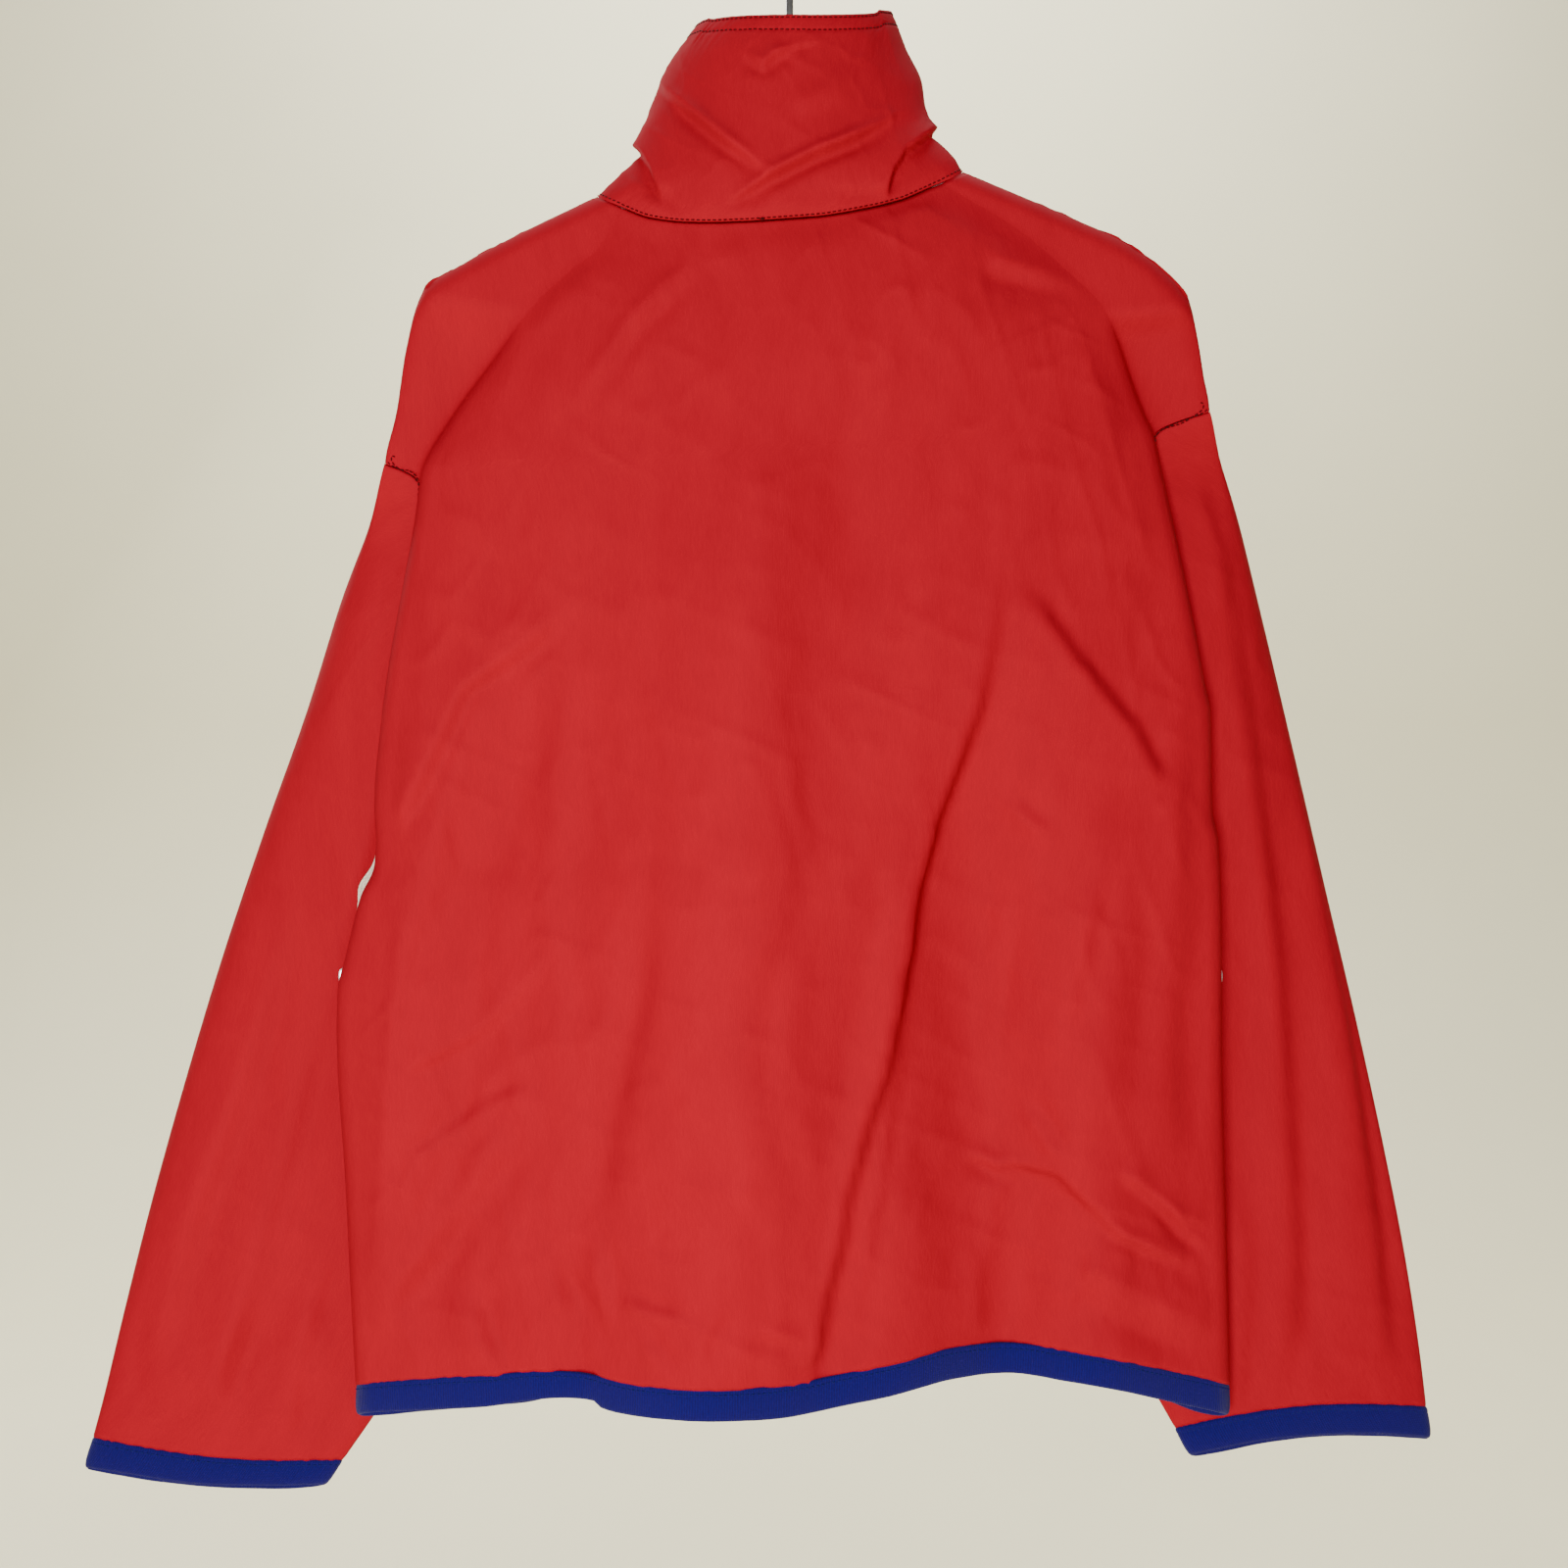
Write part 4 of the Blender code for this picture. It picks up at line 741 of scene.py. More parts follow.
# Creases of the fronts, which the photograph doesn't show: width, rise, trough, then across, down.
FRONT_CREASES = {
    "left": (
        (9.0, 2.2, 0.7, (60, 300), (90, 380), (150, 440), (190, 470)),
        (8.0, 1.8, 0.7, (40, 470), (70, 560), (80, 680), (78, 770)),
        (7.0, 1.6, 0.8, (205, 470), (170, 560), (150, 640)),
        (6.0, 1.8, 0.8, (30, 700), (42, 750), (38, 790)),
        (5.0, 1.6, 0.9, (120, 720), (135, 760), (130, 800)),
        (10.0, -2.0, 0.0, (110, 480), (118, 600), (105, 700)),
        (6.0, 1.4, 0.8, (225, 680), (190, 730), (180, 790)),
        (7.0, 1.5, 0.6, (45, 250), (75, 290), (120, 330)),
    ),
    "right": (
        (9.0, 2.0, 0.7, (-55, 310), (-95, 390), (-150, 450), (-200, 470)),
        (8.0, 1.8, 0.7, (-55, 500), (-62, 600), (-50, 720)),
        (7.0, 1.8, 0.8, (-200, 490), (-170, 580), (-165, 680)),
        (5.0, 1.6, 0.9, (-90, 720), (-80, 760), (-85, 795)),
        (6.0, 1.5, 0.9, (-150, 700), (-140, 750), (-150, 795)),
        (10.0, -2.2, 0.0, (-120, 500), (-112, 620), (-120, 720)),
        (6.0, 1.4, 0.8, (-30, 420), (-38, 520), (-28, 600)),
        (7.0, 1.5, 0.6, (-50, 255), (-90, 280), (-140, 320)),
    ),
}


def from_photo(point):
    """Across and down on the hanger's plane, in millimetres, of a pixel."""
    return (PHOTO_MIDDLE - point[0]) * PIXEL, (point[1] - PHOTO_TOP) * PIXEL


def seen(points):
    """Where points show on the hanger's plane, across and down."""
    nearer = EYE[1] / (EYE[1] - points[..., 1])
    across = EYE[0] + (points[..., 0] - EYE[0]) * nearer
    return across, -(EYE[2] + (points[..., 2] - EYE[2]) * nearer)


# --- relief -------------------------------------------------------------------------------------
def beside_path(across, down, path):
    """Each point's distance from a path, signed by its side, and its share of the way along."""
    path = np.array(path, dtype=float)
    steps = np.diff(path, axis=0)
    lengths = np.linalg.norm(steps, axis=1)
    starts = distances(path)[:-1]
    nearest = np.full(across.shape, 1e9)
    side, walked = np.zeros(across.shape), np.zeros(across.shape)
    for start, step, length, before in zip(path[:-1], steps, lengths, starts):
        ox, od = across - start[0], down - start[1]
        t = np.clip((ox * step[0] + od * step[1]) / length**2, 0, 1)
        far = np.hypot(ox - t * step[0], od - t * step[1])
        closer = far < nearest
        nearest = np.where(closer, far, nearest)
        side = np.where(closer, np.sign(step[0] * od - step[1] * ox), side)
        walked = np.where(closer, before + t * length, walked)
    return nearest * side, walked / lengths.sum()


def crease(across, down, path, width, rise, trough):
    """A soft ridge along a path, its trough beside it, fading out at both ends."""
    off, along = beside_path(across, down, path)
    taper = ease(0.0, 0.3, along) * (1 - ease(0.7, 1.0, along)) * 0.85 + 0.15
    ridge = np.exp(-((off / width) ** 2))
    beside = np.exp(-(((off - FOLD_TROUGH * width) / (1.2 * width)) ** 2))
    return rise * taper * (ridge - trough * beside)


def drapes(across, down, table, place=from_photo):
    """Folds with one gentle side and one steep side, each settling back into the cloth."""
    total = np.zeros(across.shape)
    for steep, rise, before, after, *path in table:
        off, along = beside_path(across, down, [place(p) for p in path])
        taper = ease(0.0, 0.25, along) * (1 - ease(0.88, 1.0, along))
        gentle = np.exp(np.minimum(off, 0) / before)
        fallen = (1 - 2 * ease(0, steep, off)) * np.exp(-np.maximum(off - steep, 0) / after)
        total += rise / 2 * taper * np.where(off < 0, gentle, fallen)
    return total


def creases(across, down, table, place=from_photo):
    total = np.zeros(across.shape)
    for width, rise, trough, *path in table:
        total += crease(across, down, [place(p) for p in path], width, rise, trough)
    return total


def wander(u, v, seed):
    """Smooth uneven rises between -1 and 1, one to each unit of u and v."""
    heights = np.random.default_rng(seed).uniform(-1, 1, (64, 64))
    i, j = np.floor(u).astype(int), np.floor(v).astype(int)
    s, t = u - i, v - j
    s, t = s * s * (3 - 2 * s), t * t * (3 - 2 * t)
    low = heights[i % 64, j % 64] * (1 - s) + heights[(i + 1) % 64, j % 64] * s
    high = heights[i % 64, (j + 1) % 64] * (1 - s) + heights[(i + 1) % 64, (j + 1) % 64] * s
    return low * (1 - t) + high * t


def uneven(u, v, seed):
    """The cloth's own unevenness, longer down the grain than across it."""
    total = 1.1 * wander(u / 70, v / 150, seed) + 0.55 * wander(u / 26 + 9, v / 60, seed + 1)
    total = total + 0.22 * wander(u / 9 + 3, v / 24, seed + 2)
    tilted = u * 0.6 + v * 0.35
    return total + 0.4 * wander(tilted / 24, (v - u) / 75, seed + 3)


def crinkles(u, v, seed):
    """Short sharp creases of washed nylon, in patches."""
    total = np.zeros(u.shape)
    for turn, size in ((0.25, 21.0), (-0.5, 17.0), (1.1, 25.0)):
        p = u * math.cos(turn) + v * math.sin(turn)
        q = v * math.cos(turn) - u * math.sin(turn)
        sharp = 1 - np.abs(wander(p / size, q / (2.6 * size), seed)) * 3.2
        total += np.clip(sharp, 0, 1) ** 1.5 * (0.5 + 0.5 * wander(u / 60, v / 80, seed + 1))
        seed += 2
    return 0.55 * total


def puckers(along, apart, seed):
    """Small gathers beside a binding; apart is the distance from it."""
    drift = 2.2 * wander(along / 19, apart * 0 + 0.5, seed) + 1.4 * wander(along / 7, apart / 30, seed + 1)
    wave = np.sin(2 * np.pi * (along / 6.4 + drift)) + 0.6 * np.sin(2 * np.pi * (along / 11.3 + 1.3 * drift))
    size = 0.45 + 0.55 * wander(along / 33, apart * 0 + 2.5, seed + 2) ** 2
    reach = 9 + 9 * (0.5 + 0.5 * wander(along / 14, apart * 0 + 7.5, seed + 3))
    return 0.42 * size * wave * np.exp(-((apart / reach) ** 1.3))


def grid_normals(grid, ring=False):
    fall = np.gradient(grid, axis=0)
    over = np.roll(grid, -1, 1) - np.roll(grid, 1, 1) if ring else np.gradient(grid, axis=1)
    return unit(np.cross(fall, over))


def near_border(grid, axis, last=False):
    """Each point's distance from the grid's border at that end."""
    walked = walked_along(grid, axis)
    return walked.take([-1], axis=axis) - walked if last else walked


def lifted(grid, amount, way=1.0, ring=False):
    """The grid moved out along its normals, which are taken from rows at least a little apart."""
    down = near_border(grid, 0).mean(axis=1)
    kept = [0]
    for row in range(1, len(down)):
        if down[row] - down[kept[-1]] > ROW_SPACE or row == len(down) - 1:
            kept.append(row)
    few = grid_normals(grid[kept], ring)
    normals = np.stack([points_at(down, down[kept], few[:, c]) for c in range(grid.shape[1])], axis=1)
    return grid + normals * (amount * way)[..., None]


def eased_down(grid, reach, share):
    """Evens out the depth down each column over a reach, where share is above nought."""
    grid = grid.copy()
    weights = np.exp(-(np.arange(-3 * reach, 3 * reach + 1) / reach) ** 2 / 2)
    for c in range(grid.shape[1]):
        down = np.maximum.accumulate(-grid[:, c, 2])
        even = np.arange(down[0], down[-1] + 1)
        depth = np.pad(np.interp(even, down, grid[:, c, 1]), 3 * reach, mode="edge")
        smooth = np.interp(down, even, np.convolve(depth, weights / weights.sum(), mode="valid"))
        grid[:, c, 1] += (smooth - grid[:, c, 1]) * share[:, c]
    return grid


def seam_roll(apart):
    return -SEAM_DIP * np.clip(1 - apart / SEAM_ROLL, 0, 1) ** 2


# --- materials ----------------------------------------------------------------------------------
class Look:
    """A procedural material under construction."""

    def __init__(self, name, colour, roughness, metallic=0.0, specular=0.5):
        self.material = bpy.data.materials.new(name)
        self.material.use_nodes = True
        self.tree = self.material.node_tree
        self.shader = self.tree.nodes["Principled BSDF"]
        self.shader.inputs["Base Color"].default_value = (*colour, 1.0)
        self.shader.inputs["Roughness"].default_value = roughness
        self.shader.inputs["Metallic"].default_value = metallic
        self.shader.inputs["Specular IOR Level"].default_value = specular

    def node(self, kind, **values):
        item = self.tree.nodes.new(kind)
        for key, setting in values.items():
            if key in item.inputs:
                item.inputs[key].default_value = setting
            else:
                setattr(item, key, setting)
        return item

    def link(self, source, target):
        self.tree.links.new(source, target)

    def noise(self, scale, detail=2.0, stretch=(1, 1, 1), coordinates="UV", roughness=0.5):
        where = self.node("ShaderNodeTexCoord")
        mapping = self.node("ShaderNodeMapping")
        mapping.inputs["Scale"].default_value = stretch
        texture = self.node("ShaderNodeTexNoise", Scale=scale, Detail=detail, Roughness=roughness)
        self.link(where.outputs[coordinates], mapping.inputs["Vector"])
        self.link(mapping.outputs["Vector"], texture.inputs["Vector"])
        return texture.outputs["Fac"]

    def wave(self, scale, axis, coordinates="UV", distortion=0.0):
        where = self.node("ShaderNodeTexCoord")
        texture = self.node("ShaderNodeTexWave", Scale=scale, Distortion=distortion)
        texture.bands_direction = axis
        self.link(where.outputs[coordinates], texture.inputs["Vector"])
        return texture.outputs["Fac"]

    def ramp(self, factor, stops):
        ramp = self.node("ShaderNodeValToRGB")
        ramp.color_ramp.elements[0].position = stops[0][0]
        ramp.color_ramp.elements[1].position = stops[-1][0]
        for position, _ in stops[1:-1]:
            ramp.color_ramp.elements.new(position)
        for element, (_, colour) in zip(ramp.color_ramp.elements, stops):
            element.color = (*colour, 1.0)
        self.link(factor, ramp.inputs["Fac"])
        return ramp.outputs["Color"]

    def mixed(self, first, second, factor, kind="MIX"):
        mix = self.node("ShaderNodeMix", data_type="RGBA", blend_type=kind)
        mix.inputs["Factor"].default_value = factor
        self.link(first, mix.inputs["A"])
        self.link(second, mix.inputs["B"])
        return mix.outputs["Result"]

    def spread(self, factor, low, high):
        """A factor from 0 to 1, laid out between two values."""
        between = self.node("ShaderNodeMapRange")
        between.inputs["To Min"].default_value, between.inputs["To Max"].default_value = low, high
        self.link(factor, between.inputs["Value"])
        return between.outputs["Result"]

    def bump(self, height, strength, distance, before=None):
        bump = self.node("ShaderNodeBump", Strength=strength, Distance=distance)
        self.link(height, bump.inputs["Height"])
        if before is not None:
            self.link(before, bump.inputs["Normal"])
        return bump.outputs["Normal"]

    def finish(self, colour=None, roughness=None, normal=None):
        if colour is not None:
            self.link(colour, self.shader.inputs["Base Color"])
        if roughness is not None:
            self.link(roughness, self.shader.inputs["Roughness"])
        if normal is not None:
            self.link(normal, self.shader.inputs["Normal"])
        return self.material


def tinted(colour, by):
    return tuple(channel * by for channel in colour)


def nylon(name, colour):
    """Washed nylon: a fine upright grain and faint mottling, nearly matt."""
    look = Look(name, colour, 0.75, specular=0.06)
    grain = look.noise(1.0, 3.0, (950, 110, 1))
    mottle = look.noise(1.0, 3.0, (55, 16, 1), roughness=0.6)
    fine = look.ramp(grain, ((0.25, tinted(colour, 0.92)), (0.5, colour), (0.78, tinted(colour, 1.07))))
    broad = look.ramp(mottle, ((0.3, tinted(colour, 0.9)), (0.7, tinted(colour, 1.1))))
    both = look.mixed(fine, broad, 0.4)
    crinkle = look.noise(1.0, 2.0, (420, 150, 1))
    threads = look.wave(350.0, "X", distortion=1.5)
    normal = look.bump(threads, 0.12, 0.0002)
    normal = look.bump(grain, 0.2, 0.0003, normal)
    normal = look.bump(crinkle, 0.16, 0.0009, normal)
    return look.finish(both, look.spread(grain, 0.68, 0.82), normal)


def knit(name, colour):
    """Fine rib knit: narrow upright ribs with painted shade between them and painted light on their tops, and
    rows of loops.
    """
    look = Look(name, colour, 0.85, specular=0.08)
    look.shader.inputs["Sheen Weight"].default_value = 0.06
    look.shader.inputs["Sheen Roughness"].default_value = 0.5
    ribs = look.wave(230.0, "X", distortion=0.6)
    loops = look.wave(300.0, "Y", distortion=1.0)
    fuzz = look.noise(1.0, 4.0, (800, 800, 1))
    # The ribs' wave paints shade into the grooves between the ribs and light onto their tops, over the knit's
    # own blue.
    shade = look.ramp(ribs, ((0.0, tinted(colour, 0.55)), (1.0, tinted(colour, 1.25))))
    speck = look.ramp(fuzz, ((0.3, tinted(colour, 0.7)), (0.7, tinted(colour, 1.4))))
    normal = look.bump(loops, 0.25, 0.0003)
    normal = look.bump(ribs, 0.5, 0.0005, normal)
    return look.finish(look.mixed(shade, speck, 0.5), None, look.bump(fuzz, 0.3, 0.0004, normal))


def woven(name, colour, coordinates="UV", rough=0.85):
    """A plain woven tape."""
    look = Look(name, colour, rough, specular=0.12)
    over = look.wave(420.0, "X", coordinates)
    under = look.wave(420.0, "Z" if coordinates == "Object" else "Y", coordinates)
    grain = look.noise(900.0, 2.0, coordinates=coordinates)
    shade = look.ramp(grain, ((0.3, tinted(colour, 0.75)), (0.7, tinted(colour, 1.15))))
    normal = look.bump(over, 0.3, 0.0003)
    return look.finish(shade, None, look.bump(under, 0.3, 0.0003, normal))


def plated(name, colour, roughness):
    """Worn plated metal with fine scratches."""
    look = Look(name, colour, roughness, 1.0)
    scratches = look.noise(600.0, 4.0, (1, 1, 0.12), "Object")
    wear = look.noise(160.0, 3.0, coordinates="Object")
    tone = look.ramp(wear, ((0.35, tinted(colour, 0.7)), (0.65, tinted(colour, 1.1))))
    worn = look.spread(scratches, roughness * 0.7, roughness * 1.5)
    return look.finish(tone, worn, look.bump(scratches, 0.15, 0.0001))


def moulded(name, colour, roughness):
    """Plain moulded plastic, a little scuffed."""
    look = Look(name, colour, roughness)
    scuffs = look.noise(90.0, 5.0, (1, 1, 1), "Object", 0.65)
    grain = look.noise(1400.0, 2.0, (1, 1, 1), "Object")
    tone = look.ramp(scuffs, ((0.3, tinted(colour, 0.86)), (0.7, tinted(colour, 1.06))))
    worn = look.spread(scuffs, roughness * 0.8, roughness * 1.3)
    return look.finish(tone, worn, look.bump(grain, 0.15, 0.0002))


RED = nylon("red_nylon", (0.335, 0.004, 0.014))
DARK_RED = woven("red_zip_tape", (0.22, 0.002, 0.01), "Object")
BLUE = knit("blue_knit", (0.006, 0.0015, 0.105))
# The thread's own red, darkened with painted shade of the dimples and holes that each stitch sinks into.
RED_THREAD_WITH_PAINTED_SHADE = woven("red_thread_with_painted_shade", (0.055, 0.001, 0.002), "Object", 0.7)
THREAD_BLUE = woven("blue_thread", (0.004, 0.007, 0.1), "Object", 0.7)
CREAM = woven("cream_tape", (0.78, 0.72, 0.58), "Object")
METAL = plated("zip_metal", (0.55, 0.55, 0.54), 0.3)
STEM = plated("hanger_wire", (0.32, 0.32, 0.32), 0.32)
BAR = moulded("hanger_bar", (0.62, 0.61, 0.59), 0.45)
TEETH = moulded("zip_teeth", (0.22, 0.002, 0.01), 0.4)


# --- meshes -------------------------------------------------------------------------------------
def add_piece(name, mesh, material, body="jacket"):
    item = bpy.data.objects.new(name, mesh)
    mesh.materials.append(material)
    bpy.context.scene.collection.objects.link(item)
    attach(item, body)
    return item


def mesh_of(name, places, faces):
    """A smooth mesh through points in millimetres."""
    mesh = bpy.data.meshes.new(name)
    mesh.from_pydata((np.reshape(places, (-1, 3)) * MM).tolist(), [], faces)
    mesh.shade_smooth()
    return mesh


def circle(middle, side, other, radius, around):
    turns = 2 * math.pi * np.arange(around) / around
    return middle + (np.outer(np.cos(turns), side) + np.outer(np.sin(turns), other)) * radius


def tube_faces(base, rings, around):
    """A closed tube's faces, where the first of its rings of points starts at base."""
    faces, end = [], base + (rings - 1) * around
    for low in range(base, end, around):
        high = low + around
        for a in range(around):
            b = (a + 1) % around
            faces.append((low + a, low + b, high + b, high + a))
    return [*faces, tuple(range(base + around - 1, base - 1, -1)), tuple(range(end, end + around))]


def cloth(name, grid, material, thick=SHEET, ring=False, flip=False):
    """A sheet through a grid of points, thickened inwards, with its cloth's own lengths as UVs."""
    count, width = grid.shape[:2]
    around = width if ring else width - 1
    r, c = (a.ravel() for a in np.meshgrid(np.arange(count - 1), np.arange(around), indexing="ij"))
    n = (c + 1) % width
    faces = np.stack([r * width + c, (r + 1) * width + c, (r + 1) * width + n, r * width + n], axis=1)
    closed = np.concatenate([grid, grid[:, :1]], axis=1) if ring else grid
    across = walked_along(closed, 1)
    across = (across - across.max(axis=1, keepdims=True) / 2) * MM
    fallen = walked_along(closed, 0) * MM
    corners = [(r, c), (r + 1, c), (r + 1, c + 1), (r, c + 1)]
    uvs = np.stack([np.stack([across[i, j], fallen[i, j]], axis=-1) for i, j in corners], axis=1)
    if flip:
        faces, uvs = faces[:, ::-1], uvs[:, ::-1]
    mesh = mesh_of(name, grid, faces.tolist())
    layer = mesh.uv_layers.new(name="cloth")
    layer.data.foreach_set("uv", uvs.reshape(-1))
    item = add_piece(name, mesh, material)
    solid = item.modifiers.new("sheet", "SOLIDIFY")
    solid.thickness = thick * MM
    solid.offset = -1.0
    return item


def line_at(grid, normals, apart, last=False):
    """Points and normals along a line parallel to the grid's first or last row."""
    if last:
        grid, normals = grid[::-1], normals[::-1]
    walked = walked_along(grid, 0)
    points, tops = [], []
    for c in range(grid.shape[1]):
        points.append(points_at(apart, walked[:, c], grid[:, c]))
        tops.append(points_at(apart, walked[:, c], normals[:, c]))
    return np.array(points), np.array(tops)


def sewn(name, lines, material, around=6):
    """Stitches along lines of points with normals: short rounded threads that dip at their ends."""
    places, faces = [], []
    for points, tops in lines:
        walked = distances(points)
        starts = np.arange(FIRST_STITCH, walked[-1] - STITCH, STITCH + STITCH_GAP)
        first = points_at(starts, walked, points)
        way = points_at(starts + STITCH, walked, points) - first
        top = points_at(starts + STITCH / 2, walked, tops)
        side = unit(np.cross(top, way))
        for k in range(len(starts)):
            faces += tube_faces(len(places), len(STITCH_RINGS), around)
            for along, wide, rise in STITCH_RINGS:
                middle = first[k] + way[k] * along + top[k] * (STITCH_PROUD + rise)
                places.extend(circle(middle, side[k], top[k], wide * THREAD / 2, around))
    return add_piece(name, mesh_of(name, places, faces), material)


# --- the panels ---------------------------------------------------------------------------------
def roughened(piece, across, down, seed, later):
    """A piece's uneven rises and its crinkles together."""
    rises, sharp = RELIEF[piece][2:]
    return rises * uneven(across, down, seed) + sharp * crinkles(across, down, seed + later)


def back_grid():
    steps, seed = stages(), SEEDS["back"]
    rows = np.array([back_row(stage) for stage in steps])
    across, down = seen(rows)
    left, right = (np.array([side_ends(side, s)[0] for s in steps])[:, None] for side in SIDES)
    inside = ease(0, 26, np.minimum(left - across, across + right))
    inside[:, :TAIL_COLUMNS] = inside[:, -TAIL_COLUMNS:] = 0.0
    free = ease(0, 25, near_border(rows, 0)) * ease(0, 25, near_border(rows, 0, last=True))
    rows = eased_down(rows, 28, free * inside)
    from_neck, from_hem = near_border(rows, 0), near_border(rows, 0, last=True)
    sharp, long = RELIEF["back"][:2]
    relief = sharp * creases(across, down, BACK_CREASES) + long * drapes(across, down, BACK_DRAPES)
    relief += roughened("back", across, down, seed, 3)
    relief *= inside * ease(0, 14, from_neck) * (0.35 + 0.65 * ease(0, 20, from_hem))
    relief += puckers(across, from_hem, seed + 10) * np.maximum(inside, 0.35)
    relief += 0.35 * puckers(across * 0.8, from_neck, seed + 14) * inside
    ends = np.minimum(near_border(rows, 1), near_border(rows, 1, last=True))
    return lifted(rows, relief + seam_roll(from_hem) + seam_roll(from_neck) + seam_roll(ends))


def front_grid(side):
    rows = np.array([front_row(side, stage) for stage in stages()])
    across, down = rows[..., 0], -rows[..., 2]
    from_zip, from_side = near_border(rows, 1), near_border(rows, 1, last=True)
    from_neck, from_hem = near_border(rows, 0), near_border(rows, 0, last=True)
    inside = ease(3, 24, from_zip) * ease(0, 26, from_side) * ease(0, 16, from_neck)
    rows = eased_down(rows, 38, ease(0, 30, from_neck) * ease(0, 30, from_hem) * ease(4, 40, from_side))
    sharp, long = RELIEF["front"][:2]
    relief = sharp * creases(across, down, FRONT_CREASES[side], tuple)
    relief += long * drapes(across, down, FRONT_DRAPES[side], tuple) * sign(side)
    relief += roughened("front", across, down, SEEDS[f"front_{side}"], 7)
    relief *= inside * (0.35 + 0.65 * ease(0, 20, from_hem))
    relief += puckers(across, from_hem, FRONT_HEM_SEED) * ease(0, 12, from_zip)
    relief += 0.3 * puckers(down, from_zip, FRONT_ZIP_SEED)
    relief += seam_roll(from_hem) + seam_roll(from_neck) + seam_roll(from_side) + seam_roll(from_zip)
    return lifted(rows, relief, way=sign(side))


def sleeve_grid(side):
    along = np.linspace(0, 1, SLEEVE_RINGS + 1) ** 1.15
    rings = np.array([sleeve_ring(side, a) for a in along])
    across, down = seen(rings)
    turn = np.linspace(0, 2 * np.pi, 2 * SLEEVE_HALF + 1)[:-1]
    behind, before = (ease(0.05, 0.45, way * np.sin(turn))[None, :] for way in (1, -1))
    sharp, folds, seed = SLEEVE_CREASES[side], SLEEVE_DRAPES[side], SEEDS[f"sleeve_{side}"]
    from_top, from_cuff = near_border(rings, 0), near_border(rings, 0, last=True)
    # the hidden front takes the same folds, moved and a little weaker
    relief = creases(across, down, sharp) * behind + 0.9 * creases(across + 14, down - 30, sharp) * before
    relief += drapes(across, down, folds) * behind + 0.8 * drapes(across + 10, down + 24, folds) * before
    relief += roughened("sleeve", across, down, seed, 2) * behind
    relief += roughened("sleeve", across, down, seed + 5, 2) * before
    relief *= ease(0, 22, from_top) * (0.3 + 0.7 * ease(0, 20, from_cuff))
    around = np.maximum(behind, before)
    relief += puckers(across + 400 * (turn > np.pi)[None, :], from_cuff, seed + 3) * around
    relief += 0.4 * puckers(down, from_top, seed + 9) * around
    return lifted(rings, relief + seam_roll(from_top) + seam_roll(from_cuff), way=sign(side), ring=True)


def collar_grid(base):
    rows, seed = collar_rows(base), SEEDS["collar"]
    soft = rows[..., 2].copy()
    for _ in range(COLLAR_SOFTENING):
        soft[:, 1:-1] = (soft[:, :-2] + 2 * soft[:, 1:-1] + soft[:, 2:]) / 4
    rows[..., 2] += (soft - rows[..., 2]) * ease(0.45, 1.0, COLLAR_LEVELS[:, None])
    across, down = seen(rows)
    behind, before = ease(-22, -4, rows[..., 1]), ease(22, 38, -rows[..., 1])
    from_seam, from_top = near_border(rows, 0), near_border(rows, 0, last=True)
    from_zip = np.minimum(near_border(rows, 1), near_border(rows, 1, last=True))
    relief = (creases(across, down, COLLAR_CREASES) + drapes(across, down, COLLAR_DRAPES)) * behind
    relief += 0.7 * creases(-across, down - 40, COLLAR_CREASES) * before * ease(2, 20, from_zip)
    rises, sharp = RELIEF["collar"][2:]
    rough = rises * uneven(across * 1.4, down, seed) + sharp * crinkles(across * 1.5, down * 1.5, seed + 3)
    relief += rough * ease(0, 12, from_zip)
    relief *= ease(0, 12, from_seam) * (0.25 + 0.75 * ease(4, 16, from_top))
    relief += 0.5 * puckers(walked_along(rows, 1), np.abs(from_top - TOP_ROWS[1]) + 1, seed + 4)
    for sewing in TOP_ROWS:
        relief -= 0.45 * np.exp(-(((from_top - sewing) / 0.9) ** 2))
    relief += 0.35 * puckers(walked_along(rows, 1), from_seam, seed + 7) + seam_roll(from_seam)
    return lifted(rows, relief, way=-1.0)


# --- bindings -----------------------------------------------------------------------------------
# The folded strip's section: out from the cloth, and down from its top edge.
BINDING_SECTION = (
    (-0.7, -1.0), (0.05, -1.1), (0.55, -0.4), (0.75, 1.0), (0.6, 1.9), (0.8, 3.0),
    (0.95, 7.0), (0.9, 11.0), (0.55, 14.0), (-0.1, 15.4), (-1.1, 15.9),
    (-2.1, 15.2), (-2.6, 12.0), (-2.7, 6.0), (-2.6, 0.5), (-1.9, -0.8),
)


def binding(name, edge, outward, down, ring, seed, short=0.0):
    """A folded knit strip round an edge; edge, outward and down hold a point each along it."""
    walked = walked_along(edge[None], 1)[0]
    wavy = 0.5 * wander(walked / 21, walked * 0 + 0.5, seed)
    wavy = wavy + 0.25 * wander(walked / 6, walked * 0 + 3.5, seed + 1)
    tall = 1 - short + 0.04 * wander(walked / 33, walked * 0 + 5.5, seed + 2)
    grid = []
    for out, fall in (*BINDING_SECTION, BINDING_SECTION[0]):
        sway = wavy * ease(2, 13, fall)
        grid.append(edge + outward * (out + sway)[:, None] + down * (fall * tall)[:, None])
    grid = np.array(grid)
    return cloth(name, grid, BLUE, 0.3, ring=ring), grid


def smooth_line(line, passes, ring):
    for _ in range(passes):
        before, after = np.roll(line, 1, 0), np.roll(line, -1, 0)
        blend = (before + 2 * line + after) / 4
        if not ring:
            blend[0], blend[-1] = line[0], line[-1]
        line = blend
    return line


